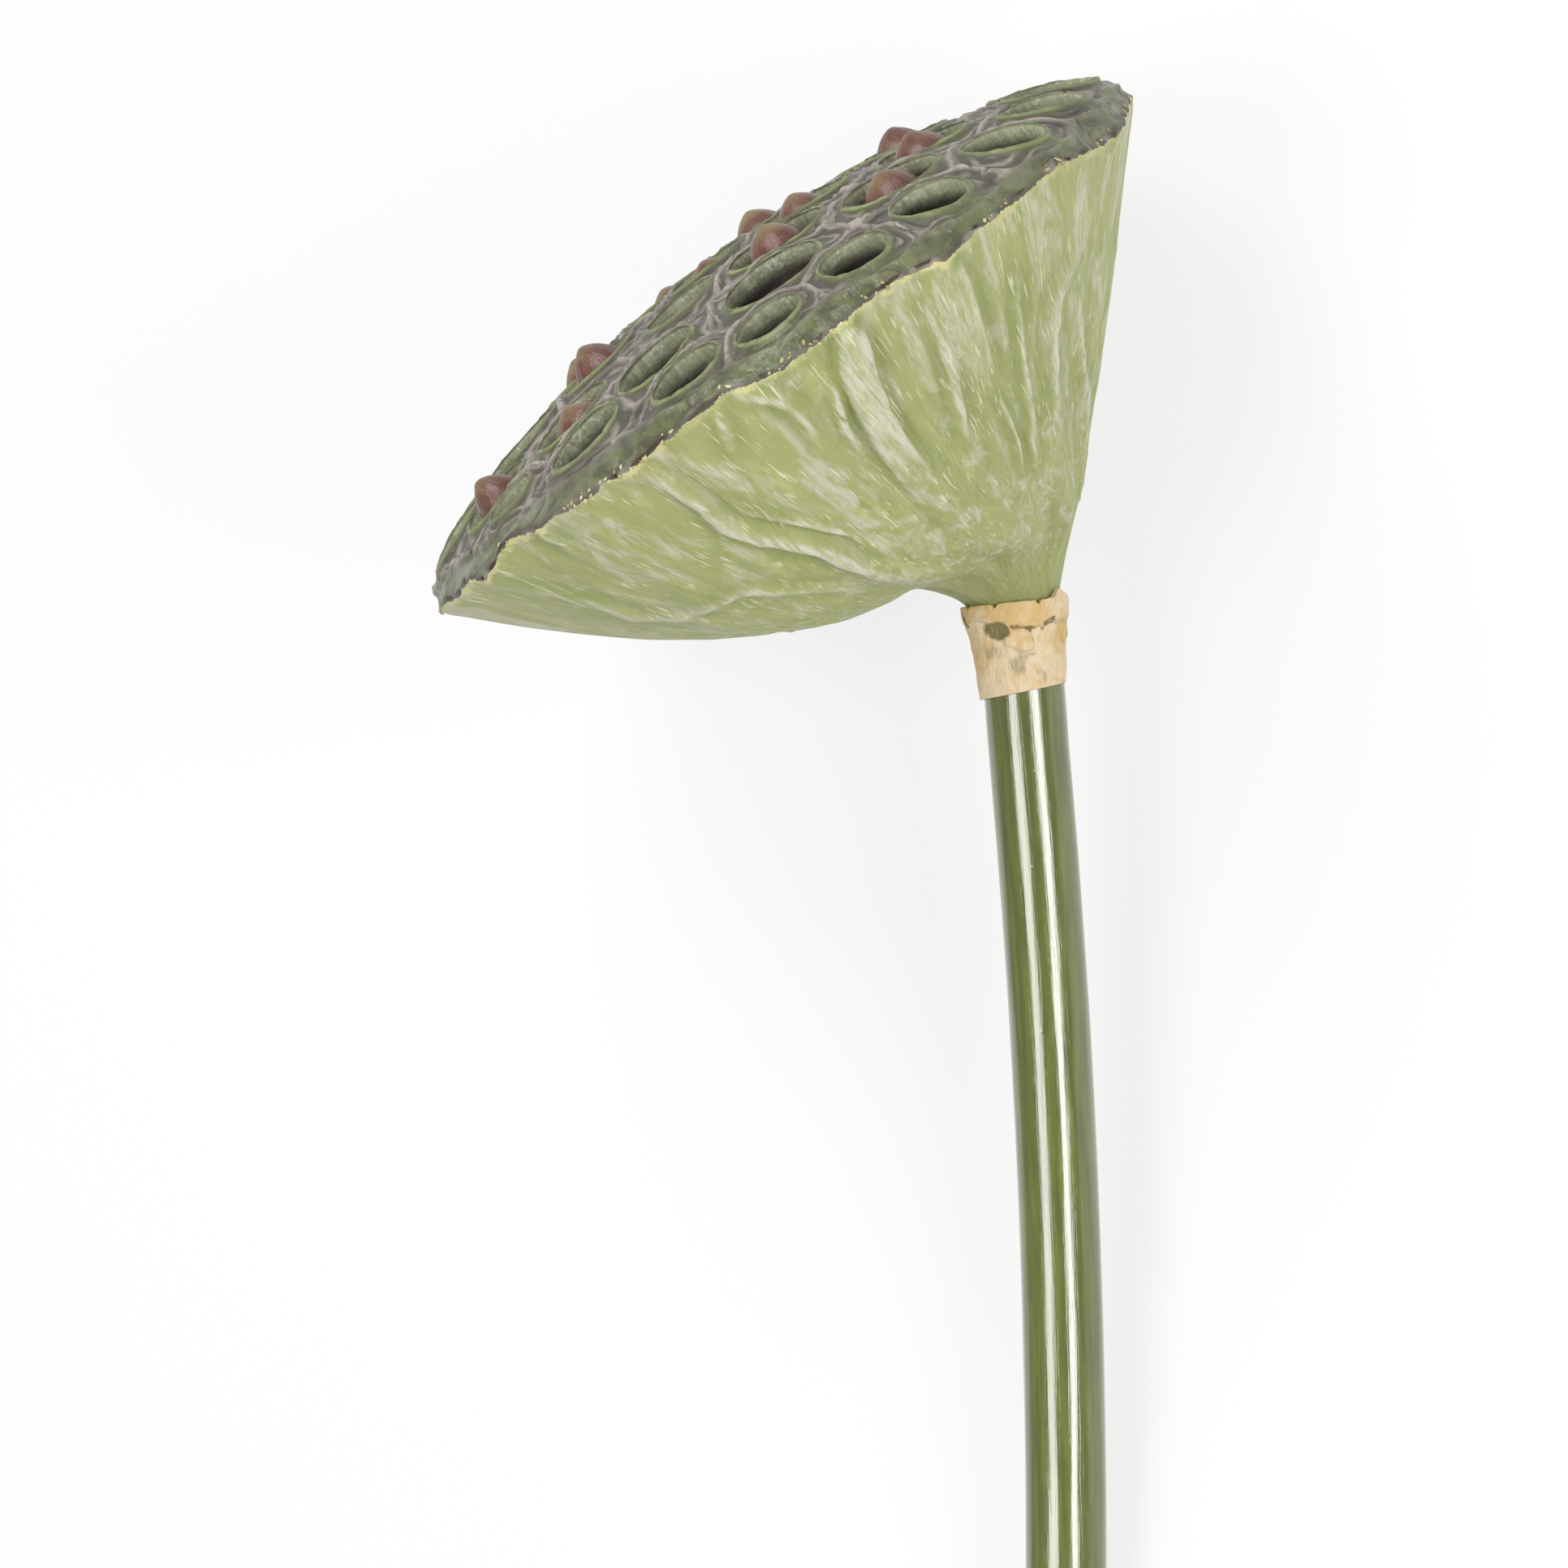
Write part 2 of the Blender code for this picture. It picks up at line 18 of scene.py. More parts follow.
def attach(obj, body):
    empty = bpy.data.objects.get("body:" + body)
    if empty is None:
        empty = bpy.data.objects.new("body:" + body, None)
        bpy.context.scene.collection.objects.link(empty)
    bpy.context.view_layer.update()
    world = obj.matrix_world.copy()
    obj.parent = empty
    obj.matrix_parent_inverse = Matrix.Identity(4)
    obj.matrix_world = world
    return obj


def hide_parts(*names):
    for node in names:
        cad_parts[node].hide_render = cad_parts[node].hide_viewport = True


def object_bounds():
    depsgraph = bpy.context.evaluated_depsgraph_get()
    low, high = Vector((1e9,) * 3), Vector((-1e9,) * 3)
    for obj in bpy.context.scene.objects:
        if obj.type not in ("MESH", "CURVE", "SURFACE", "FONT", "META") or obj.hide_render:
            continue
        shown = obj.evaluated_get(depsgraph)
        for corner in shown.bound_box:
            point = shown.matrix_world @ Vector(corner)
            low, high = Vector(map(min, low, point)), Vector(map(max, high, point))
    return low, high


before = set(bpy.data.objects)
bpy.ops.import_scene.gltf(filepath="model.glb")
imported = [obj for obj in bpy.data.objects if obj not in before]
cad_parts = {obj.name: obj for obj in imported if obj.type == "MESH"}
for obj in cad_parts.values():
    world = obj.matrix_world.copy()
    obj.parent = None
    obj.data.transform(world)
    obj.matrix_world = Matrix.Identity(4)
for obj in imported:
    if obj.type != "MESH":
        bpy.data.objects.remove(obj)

bl_info = {
    "name": "Lotus pod",
    "version": (1, 0, 0),
    "blender": (4, 5, 0),
    "location": "3D View > Sidebar > Lotus",
    "description": "Makes the flesh, seeds, collar and stem of a fresh lotus pod, and its stage",
    "category": "Object",
}

CAD_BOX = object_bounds()
MM = 0.001

# From the pod as it grew to the pod as it lies
TURN = np.array(((0.8969, -0.4421, 0.0), (0.0524, 0.1062, 0.9930), (-0.4390, -0.8906, 0.1184)))
NECK = np.array((23.78, 40.70, 24.73))

# The face of the pod, as it grew
FACE_CENTRE = np.array((-28.0, -3.6, 30.0))
FACE_LEAN = radians(37.2)
FACE_NOD = radians(5)
FACE_TILT = np.array((Matrix.Rotation(-FACE_LEAN, 3, "Y") @ Matrix.Rotation(FACE_NOD, 3, "X")))
PIT_COUNT = 38
PIT_SIDES = 12
PIT_RINGS = (0.88, 0.42, 0.07, 0.0)  # share of the depth, from the floor's ring to the lip
PIT_OUTER = 52  # how far from the middle of the face the pits' floors reach
PIT_UPPER = 8  # and how high over it
RIM_INNER = 45  # how near to the middle of the face the rim comes
NECK_REACH = 20  # how far from the origin the neck's edge reaches
LIP_CREASE = 0.8
RIM_CREASE = 0.9
SIDE_LAYERS = ("side", "down", "rim")
FINE_SHARE = 0.51  # share of the way down the side to which faces are cut across as well
TINY = 1e-4  # less than this counts as nothing

# The stem and the collar, as they grew
STEM_BEND = 1110.0  # radius of its bend
STEM_PLUMB = 119.0  # how far below the neck it is plumb
STEM_END = 147.0  # how far below the neck it is cut off
STEM_CUT = sin(radians(7))  # slant of the cut
COLLAR_END = 10.7
COLLAR_DOWN = np.array((0.0, 2.4, 2.8, 5.6, 8.4, 10.7))
COLLAR_RADIUS = np.array((6.55, 6.40, 6.05, 5.85, 5.65, 5.42))
SLEEVE_BORE = 5.22  # radius inside the collar's foot
# Marks on the collar: where round it in degrees, -90 facing the viewer, and how far down it
# in millimetres, then half width in degrees and half height in millimetres
HOLLOWS = ((-119, 3.7, 19, 0.9), (-77, 3.0, 16, 0.22), (-52, 2.5, 10, 0.40), (-168, 2.2, 7, 1.0),
           (64, 3.6, 22, 0.8), (128, 3.1, 14, 0.3))
FLAPS = ((-92, 4.2, 22, 2.0), (-20, 3.4, 14, 1.6), (35, 4.0, 18, 1.8), (150, 4.4, 24, 2.2))
STAINS = ((-94, 7.4, 7, 1.5), (-62, 8.8, 6, 0.6), (-128, 6.2, 14, 0.8), (-84, 6.5, 12, 0.4),
          (20, 7.5, 16, 1.2), (100, 8.0, 12, 1.4), (160, 7.0, 10, 0.9))
NOTCHES = (-113, -64, -150, 12, 75, 131)  # of the torn upper edge, in degrees
SPIKE = -33  # where that edge stands up highest

# Ridges down the side of the pod, as seen from the front: points to the right and up in
# millimetres, half width and height in millimetres, and how waxy the crest is
RIDGES = (
    (((-22.6, 27.0), (-21.8, 23.7), (-20.5, 20.2), (-18.7, 17.4)), 0.64, 0.825, 1.0),
    (((-11.8, 38.7), (-10.7, 34.2), (-9.0, 30.2), (-7.8, 26.2), (-6.9, 22.6), (-6.0, 18.2)),
     0.64, 0.9, 1.0),
    (((-4.2, 26.6), (-1.8, 23.7), (0.2, 19.3), (0.8, 15.2)), 0.4, 0.45, 0.7),
    (((-0.3, 43.5), (-0.1, 36.3), (0.4, 29.5), (1.4, 23.7), (2.3, 17.8), (2.6, 14.2)),
     0.48, 0.675, 0.9),
    (((7.5, 43.3), (6.1, 39.5), (4.8, 37.3), (4.2, 33.0), (4.4, 27.0), (5.0, 20.0)), 0.72, 0.9, 0.8),
    (((8.6, 40.4), (7.4, 36.9), (7.6, 31.9), (8.6, 26.0), (8.4, 18.0)), 0.56, 0.75, 0.7),
    (((-48.6, 14.3), (-46.7, 15.6), (-44.8, 15.3), (-41.6, 13.4), (-38.4, 11.2), (-35.8, 8.9),
      (-31.4, 7.5), (-27.5, 7.0), (-24.4, 6.4), (-21.2, 4.8), (-17.1, 3.2), (-13.3, 2.9), (-9.2, 3.1)),
     0.8, 1.125, 1.0),
    (((-37.8, 24.2), (-35.2, 24.6), (-30.7, 24.6), (-27.9, 23.6), (-25.9, 21.7), (-23.2, 17.5)),
     0.8, 0.9, 0.8),
    (((-37.1, 23.6), (-35.8, 21.0), (-34.2, 16.3)), 0.72, 0.675, 0.7),
    (((-33.6, 10.2), (-27.9, 9.7), (-24.4, 8.9), (-20.5, 8.0), (-18.5, 7.1)), 0.48, 0.675, 1.0),
    (((-60.4, 9.2), (-56.2, 7.3), (-53.1, 5.4)), 0.56, 0.525, 0.7),
    (((-67.1, 2.2), (-62.6, 1.8), (-56.2, 0.9), (-51.1, -0.3), (-46.7, -1.9), (-40.3, -1.9),
      (-37.1, -0.6), (-32.3, 1.3), (-27.5, 1.1), (-21.2, 1.6), (-15.0, 2.0)), 0.48, 0.45, 0.7),
)
# The seam's waves: turns round the face in degrees, and how far it stands off its even line
# there, towards the face, in millimetres
SEAM_WAVES = (
    (-180, 0.0), (-152, 0.0), (-149.3, -1.08), (-139.7, 1.5), (-135.1, -0.23), (-126.7, -0.85),
    (-121, -0.8), (-115.6, -1.3), (-111.3, -0.56), (-106.3, -0.38), (-103, 0.0), (-99.8, 0.28),
    (-95, -1.2), (-91, -1.36), (-89.5, -0.75), (-84.8, -0.66), (-80.8, 0.0), (-76, 0.38),
    (-71, 0.47), (-65.9, -0.14), (-61.5, 0.0), (-57, 0.38), (-52, 1.0), (-46.9, 0.94),
    (-41.2, 1.27), (-33.4, 0.0), (-23.5, -1.2), (-14, 0.0), (180, 0.0),
)
# Raised pads, like a finger laid on the skin, given as the ridges are
PADS = (
    (((-20.1, 31.0), (-19.4, 27.2), (-17.2, 22.2), (-14.5, 17.7), (-11.0, 13.2), (-7.0, 9.2)),
     2.2, 1.125, 0.95),
    (((-8.2, 38.0), (-6.9, 33.4), (-5.2, 28.0), (-4.0, 23.0)), 2.8, 0.675, 0.75),
)


def grown(points):
    """Points of the part as it lies, in millimetres, brought to where they were on the plant."""
    return (np.asarray(points) - NECK) @ TURN


def laid(points):
    """Points of the plant, brought to where they lie in the part."""
    return np.asarray(points) @ TURN.T + NECK


def grown_spots(*verts):
    """Where these vertices of a bmesh were on the plant."""
    return grown(np.array([vert.co for vert in verts]) / MM)


def over_face(points):
    """Grown points as right, back and height over the middle of the face."""
    return (points - FACE_CENTRE) @ FACE_TILT


def smooth(low, high, value):
    """0 below low, 1 above high, and a soft slope between."""
    share = np.clip((value - low) / (high - low), 0, 1)
    return share * share * (3 - 2 * share)


def bell(value, width):
    """1 at nothing, and less the further the value is to either side."""
    return np.exp(-((value / width) ** 2))


def rough(points, size, seed=0.0):
    """Smooth noise from -1 to 1 at each point, with lumps of this size."""
    return np.array([noise.noise(Vector(p)) for p in np.asarray(points) / size + seed])


def wrapped(turn, radius, along=0.0):
    """Places for a pattern that runs round a piece without a seam, and along it."""
    sides = np.cos(turn) * radius, np.sin(turn) * radius
    return np.column_stack([*sides, np.broadcast_to(along, turn.shape)])


def stem_line(down):
    """Where the middle of the stem was, at a distance below the neck."""
    bent = np.minimum(0.0, down - STEM_PLUMB)
    foot = STEM_PLUMB**2 / (2 * STEM_BEND)
    return foot - bent**2 / (2 * STEM_BEND)


def about_stem(old):
    """How far below the neck grown points are, their turn round the stem, and their distance."""
    down = -old[:, 2]
    x, y = old[:, 0] - stem_line(np.clip(down, 0, STEM_END)), old[:, 1]
    return down, np.arctan2(y, x), np.hypot(x, y)


# Tools for making a piece


def deselect():
    bpy.ops.object.select_all(action="DESELECT")


def only(obj):
    """Selects one object and nothing else."""
    deselect()
    obj.select_set(True)
    bpy.context.view_layer.objects.active = obj


def on_all(obj, tool, **settings):
    """Runs a tool of edit mode on the whole mesh."""
    only(obj)
    bpy.ops.object.mode_set(mode="EDIT")
    bpy.ops.mesh.select_all(action="SELECT")
    tool(**settings)
    bpy.ops.object.mode_set(mode="OBJECT")


def copy_of(node, name):
    """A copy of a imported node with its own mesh, its loose triangles joined up."""
    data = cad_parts[node].data.copy()
    data.name = name
    data.materials.clear()
    made = bpy.data.objects.new(name, data)
    bpy.context.scene.collection.objects.link(made)
    only(made)
    bpy.ops.mesh.customdata_custom_splitnormals_clear()
    on_all(made, bpy.ops.mesh.remove_doubles, threshold=0.002 * MM)
    return made


def join_triangles(obj):
    """Turns pairs of triangles into quads, but not across a sharp edge."""
    on_all(obj, bpy.ops.mesh.tris_convert_to_quads, face_threshold=radians(50),
           shape_threshold=radians(60), sharp=True)


def subdivide(obj, levels):
    """Applies a Subdivision Surface."""
    only(obj)
    bpy.ops.object.modifier_add(type="SUBSURF")
    finer = obj.modifiers[-1]
    finer.levels = finer.render_levels = levels
    bpy.ops.object.modifier_apply(modifier=finer.name)


def rows_of(items, key, width=3):
    """A value of each of these items as an array, one row each."""
    found = np.empty(len(items) * width, np.float32)
    items.foreach_get(key, found)
    return found.reshape(-1, width).astype(float)


def points_of(obj):
    """The vertices' places in millimetres."""
    return rows_of(obj.data.vertices, "co") / MM


def normals_of(obj):
    return rows_of(obj.data.vertex_normals, "vector")


def read_value(obj, name):
    return rows_of(obj.data.attributes[name].data, "value", 1).ravel()


def place_points(obj, points):
    """Moves the vertices, given in millimetres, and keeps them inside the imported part's box."""
    points = np.clip(points * MM, np.array(CAD_BOX[0]), np.array(CAD_BOX[1]))
    obj.data.vertices.foreach_set("co", points.astype(np.float32).ravel())
    obj.data.update()


def store(obj, **layers):
    """Keeps numbers or vectors on the vertices, for the finish to read."""
    for name, values in layers.items():
        values = np.asarray(values, np.float32)
        kind, key = ("FLOAT", "value") if values.ndim == 1 else ("FLOAT_VECTOR", "vector")
        obj.data.attributes.new(name, kind, "POINT").data.foreach_set(key, values.ravel())


def open_mesh(obj, *names):
    """A bmesh of the object with a crease layer and these layers on its points."""
    mesh = bmesh.new()
    mesh.from_mesh(obj.data)
    mesh.edges.layers.float.new("crease_edge")
    for name in names:
        mesh.verts.layers.float.new(name)
    mesh.verts.ensure_lookup_table()
    return mesh


def close_mesh(mesh, obj, creases):
    """Creases edges of a bmesh, {edge: weight}, marks them sharp, and writes it to the object."""
    layer = mesh.edges.layers.float["crease_edge"]
    for edge, weight in creases.items():
        edge[layer] = weight
        edge.smooth = False
    mesh.to_mesh(obj.data)
    mesh.free()


def on_table(face):
    return all(abs(vert.co.z) < 0.005 * MM for vert in face.verts)


def refined(node, name, crease, angle, levels):
    """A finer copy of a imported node, with creases at edges sharper than this angle."""
    made = copy_of(node, name)
    mesh = open_mesh(made)
    close_mesh(mesh, made, {e: crease for e in mesh.edges if e.calc_face_angle() > angle})
    join_triangles(made)
    subdivide(made, levels)
    return made


def shade_soft(obj):
    only(obj)
    bpy.ops.object.shade_smooth()


def join_all(pieces):
    """Makes one object of several."""
    deselect()
    for piece in pieces:
        piece.select_set(True)
    bpy.context.view_layer.objects.active = pieces[0]
    bpy.ops.object.join()
    return bpy.context.object


def finish_piece(obj, slot, *nodes):
    """Attaches a finished piece to the root body and hides the imported nodes it stands for."""
    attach(obj, "root")
    if nodes:
        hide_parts(*nodes)


class Paint:
    """A procedural material under construction."""

    def __init__(self, name):
        self.material = bpy.data.materials.new(name)
        self.material.use_nodes = True
        self.tree = self.material.node_tree
        self.shader = self.tree.nodes["Principled BSDF"]

    def put(self, socket, value):
        if isinstance(value, bpy.types.NodeSocket):
            self.tree.links.new(value, socket)
        elif socket.type == "RGBA":
            socket.default_value = (*value[:3], 1.0)
        else:
            socket.default_value = value

    def node(self, kind, inputs=(), **settings):
        made = self.tree.nodes.new(kind)
        for key, value in settings.items():
            setattr(made, key, value)
        for key, value in dict(inputs).items():
            self.put(made.inputs[key], value)
        return made

    def value(self, name):
        return self.node("ShaderNodeAttribute", attribute_name=name).outputs["Fac"]

    def vector(self, name):
        return self.node("ShaderNodeAttribute", attribute_name=name).outputs["Vector"]

    def place(self):
        return self.node("ShaderNodeTexCoord").outputs["Object"]

    def stretched(self, vector, scale):
        return self.node("ShaderNodeMapping", {"Vector": vector, "Scale": scale}).outputs[0]

    def math(self, operation, one, other=0.0, clamp=False):
        made = self.node("ShaderNodeMath", {0: one, 1: other}, operation=operation)
        made.use_clamp = clamp
        return made.outputs[0]

    def plus(self, one, other):
        return self.math("ADD", one, other)

    def times(self, one, other, clamp=False):
        return self.math("MULTIPLY", one, other, clamp)

    def shaken(self, value, by, reach):
        """A value pushed up and down by a noise, by up to half of this reach."""
        return self.plus(value, self.times(self.math("SUBTRACT", by, 0.5), reach))

    def between(self, value, low, high, first=0.0, last=1.0):
        """First below low, last above high, and a soft slope between."""
        inputs = {"Value": value, "From Min": low, "From Max": high, "To Min": first, "To Max": last}
        return self.node("ShaderNodeMapRange", inputs, interpolation_type="SMOOTHSTEP").outputs[0]

    def noise(self, vector, scale, detail=2.0, roughness=0.5, twist=0.0):
        inputs = {"Vector": vector, "Scale": scale, "Detail": detail, "Roughness": roughness,
                  "Distortion": twist}
        return self.node("ShaderNodeTexNoise", inputs).outputs["Fac"]

    def cells(self, vector, scale):
        return self.node("ShaderNodeTexVoronoi", {"Vector": vector, "Scale": scale}).outputs["Distance"]

    def mix(self, share, one, other):
        made = self.node("ShaderNodeMix", data_type="RGBA")
        self.put(made.inputs[0], share)
        self.put(made.inputs[6], one)
        self.put(made.inputs[7], other)
        return made.outputs[2]

    def lay(self, under, over, value, *limits):
        """One colour over another, more of it the nearer the value is to its high limit."""
        return self.mix(self.between(value, *limits), under, over)

    def bump(self, height, depth, under=None):
        """Relief of this depth in metres, over another one where that is given."""
        inputs = {"Height": height, "Strength": 1.0, "Distance": depth}
        if under is not None:
            inputs["Normal"] = under
        return self.node("ShaderNodeBump", inputs).outputs[0]

    def finish(self, obj, **inputs):
        for key, value in inputs.items():
            self.put(self.shader.inputs[key.replace("_", " ")], value)
        obj.data.materials.clear()
        obj.data.materials.append(self.material)


def colour(name, default, description):
    return FloatVectorProperty(
        name=name, description=description, default=default, size=3, min=0.0, max=1.0, subtype="COLOR"
    )


def share(name, default, description, most=1.0):
    return FloatProperty(
        name=name, description=description, default=default, min=0.0, max=most, subtype="FACTOR"
    )


def length(name, default, description):
    return FloatProperty(
        name=name, description=description, default=default, min=0.0, soft_max=0.05,
        subtype="DISTANCE", unit="LENGTH"
    )


class LotusFleshLook(bpy.types.PropertyGroup):
    """Sizes and colours of the spongy pod."""

    side_green: colour("Side green", (0.325, 0.348, 0.134), "Skin of the cone between its streaks")
    # Side shade is both the skin's darker green in lengthwise patches and painted shade in the grooves
    # beside ridges and pads
    side_dark_and_groove_shade: colour("Side shade", (0.235, 0.270, 0.088), "Darker green lengthwise patches")
    side_gold: colour("Side gold", (0.410, 0.400, 0.150), "Yellow-green streaks")
    fleck: colour("Fleck", (0.62, 0.62, 0.42), "Short pale flecks along the grain")
    wax: colour("Wax", (0.50, 0.49, 0.38), "Whitish waxy bloom in soft patches")
    crest: colour("Crest", (0.60, 0.59, 0.49), "Thick wax on ridges and pads")
    seam: colour("Seam", (0.55, 0.52, 0.25), "Crumbly line just under the rim")
    margin: colour("Margin", (0.125, 0.146, 0.059), "Lumpy band of the face just inside the rim")
    face_green: colour("Face green", (0.088, 0.096, 0.043), "Skin that slopes up to the lips")
    face_grey: colour("Face grey", (0.108, 0.098, 0.078), "Skin between the folds of the net")
    face_dark: colour("Face shade", (0.055, 0.050, 0.040), "Darkest skin, in cracks and hollows")
    net: colour("Net", (0.385, 0.345, 0.29), "Waxy grey crests of the net between the pits")
    lip: colour("Lip", (0.36, 0.42, 0.18), "Thin edge of each seed pit")
    wall: colour("Pit wall", (0.37, 0.385, 0.25), "Frosted wall of a seed pit")
    # Pit floor is painted shade: the dark that a pit's wall turns to deeper down
    floor: colour("Pit floor", (0.040, 0.034, 0.028), "Bottom of a seed pit")
    crack: colour("Crack", (0.05, 0.035, 0.022), "Dry brown cracks along the rim")
    net_height: length("Net height", 0.00042, "How far the fine net stands over the solid's own")
    lip_height: length("Lip height", 0.00016, "How far a lip's thin crest stands up")
    streak_height: length("Streak height", 0.00013, "Relief of the lengthwise streaks")


class LotusSeedLook(bpy.types.PropertyGroup):
    """Colours of the seeds."""

    brown: colour("Brown", (0.120, 0.038, 0.025), "Red-brown flanks of a seed")
    olive: colour("Olive", (0.21, 0.145, 0.058), "Olive-tan shoulders and tip")
    wax: colour("Wax", (0.36, 0.23, 0.19), "Pinkish bloom towards the foot")


class LotusStemLook(bpy.types.PropertyGroup):
    """Sizes and colours of the stem."""

    green: colour("Green", (0.125, 0.148, 0.018), "Skin of the stem")
    shade: colour("Shade", (0.076, 0.088, 0.010), "Darker lengthwise streaks")
    pith: colour("Pith", (0.52, 0.55, 0.33), "Flesh at the cut end")
    gloss: share("Gloss", 0.12, "Roughness of the skin")
    canal_depth: length("Canal depth", 0.007, "Depth of the air canals at the cut end")


class LotusCollarLook(bpy.types.PropertyGroup):
    """Colours of the papery collar."""

    paper: colour("Paper", (0.70, 0.565, 0.37), "Cream papery layers")
    tan: colour("Tan", (0.62, 0.42, 0.18), "Tan patches of the upper band")
    stain: colour("Stain", (0.40, 0.33, 0.20), "Greyish stains")
    hollow: colour("Hollow", (0.19, 0.16, 0.06), "Olive hollows between the layers")
    tear: length("Tear", 0.0006, "How deep the notches in the top edge are")


class LotusCrumbLook(bpy.types.PropertyGroup):
    """Sizes and colours of the dry crumbs on the rim."""

    count: IntProperty(name="Count", description="Crumbs along the rim", default=220, min=1, max=400)
    size: length("Size", 0.00027, "Radius of the largest crumb")
    yellow: colour("Yellow", (0.52, 0.48, 0.25), "Pale dry crumbs")
    brown: colour("Brown", (0.30, 0.22, 0.10), "Darker dry crumbs")


class LotusStageLook(bpy.types.PropertyGroup):
    """Floor, light and camera."""

    floor: colour("Floor", (0.17, 0.17, 0.17), "Pale floor")
    glow: share("Floor glow", 0.76, "How much light comes through the floor, as on a light table", 2.0)
    sky: share("Soft light", 0.42, "Strength of the light all round", 2.0)
    distance: length("Camera distance", 3.2, "From the lens to the middle of the picture")


LOOKS = {
    "lotus_flesh": LotusFleshLook,
    "lotus_seeds": LotusSeedLook,
    "lotus_stem": LotusStemLook,
    "lotus_collar": LotusCollarLook,
    "lotus_crumbs": LotusCrumbLook,
    "lotus_stage": LotusStageLook,
}


# The spongy pod


def flood(start, blocked):
    """Faces reached from one face without crossing a blocked edge."""
    found, todo = {start}, [start]
    while todo:
        for edge in todo.pop().edges:
            if edge in blocked:
                continue
            for face in edge.link_faces:
                if face not in found:
                    found.add(face)
                    todo.append(face)
    return found


def mark_side(mesh):
    """Writes which vertices are on the side, how far down it, and on the rim, and creases that."""
    layers = {name: mesh.verts.layers.float[name] for name in SIDE_LAYERS}
    centre = Vector(laid((0.0, 0.0, 6.0)) * MM)
    start = min(mesh.faces, key=lambda f: (f.calc_center_median() - centre).length)
    upward = Vector(TURN @ FACE_TILT[:, 2])
    brink = {
        e for e in mesh.edges
        if len({f.normal.dot(upward) > 0 for f in e.link_faces}) == 2
        and all(np.hypot(*over_face(grown_spots(v))[0, :2]) > RIM_INNER for v in e.verts)
    }
    side = flood(start, brink)
    side |= {f for f in mesh.faces if on_table(f)}
    near = {v for f in side for v in f.verts}
    rim = {
        v for v in near
        if any(f not in side for f in v.link_faces) and np.linalg.norm(grown_spots(v)) > NECK_REACH
    }
    rows = [rim]
    known = set(rim)
    while rows[-1]:
        rows.append({e.other_vert(v) for v in rows[-1] for e in v.link_edges} & near - known)
        known |= rows[-1]
    for vert in rim:
        vert[layers["rim"]] = 1.0
    for step, row in enumerate(rows[1:-1], 1):
        for vert in row:
            vert[layers["side"]] = 1.0
            vert[layers["down"]] = step / (len(rows) - 2)
    return {
        e: RIM_CREASE for e in mesh.edges
        if rim.issuperset(e.verts) and not side.isdisjoint(e.link_faces)
    }


def find_pits(mesh):
    """Writes how deep in a pit each vertex is, and lists the pits and the creases of their lips."""
    layer = mesh.verts.layers.float["sunk"]
    pits, lips = [], {}
    for floor in mesh.verts:
        x, y, height = over_face(grown_spots(floor))[0]
        if len(floor.link_edges) != PIT_SIDES or np.hypot(x, y) > PIT_OUTER or height > PIT_UPPER:
            continue
        known, ring = {floor}, [floor]
        rings = []
        for _ in PIT_RINGS:
            ring = list({e.other_vert(v) for v in ring for e in v.link_edges} - known)
            known |= set(ring)
            rings.append(ring)
        if any(len(ring) != PIT_SIDES for ring in rings):
            continue
        floor[layer] = 1.0
        for ring, depth in zip(rings, PIT_RINGS):
            for vert in ring:
                vert[layer] = depth
        crest = set(rings[-1])
        lips.update({e: LIP_CREASE for v in crest for e in v.link_edges if e.other_vert(v) in crest})
        plan = over_face(grown_spots(*sorted(crest, key=lambda v: v.index)))[:, :2]
        middle = plan.mean(0)
        pits.append((*middle, np.hypot(*(plan - middle).T).mean()))
    if len(pits) != PIT_COUNT:
        raise RuntimeError(f"found {len(pits)} seed pits and not {PIT_COUNT}")
    return pits, lips


def cut_side(obj):
    """Cuts the side's faces in two lengthwise, and the upper rows across as well."""
    only(obj)
    bpy.ops.object.mode_set(mode="EDIT")
    bpy.ops.mesh.select_all(action="DESELECT")
    bpy.ops.mesh.select_mode(type="EDGE")
    bpy.ops.object.mode_set(mode="OBJECT")
    down = read_value(obj, "down")
    outside = read_value(obj, "side") + read_value(obj, "rim")
    for edge in obj.data.edges:
        ends = list(edge.vertices)
        level = np.ptp(down[ends]) < TINY
        edge.select = bool(outside[ends].min() > 0.5 and (level or down[ends].max() < FINE_SHARE))
    bpy.ops.object.mode_set(mode="EDIT")
    bpy.ops.mesh.subdivide(number_cuts=1)
    bpy.ops.object.mode_set(mode="OBJECT")


def along_line(points, line):
    """Distance of each flat point from a line of points, and its share of the line's length."""
    line = np.array(line)
    spans = np.linalg.norm(np.diff(line, axis=0), axis=1)
    starts = np.concatenate([[0], np.cumsum(spans)])
    best = np.full(len(points), np.inf)
    where = np.zeros(len(points))
    for first, last, span, start in zip(line, line[1:], spans, starts):
        passed = np.clip((points - first) @ (last - first) / span**2, 0, 1)
        off = np.linalg.norm(points - first - passed[:, None] * (last - first), axis=1)
        nearer = off < best
        best[nearer] = off[nearer]
        where[nearer] = (start + passed[nearer] * span) / starts[-1]
    return best, where


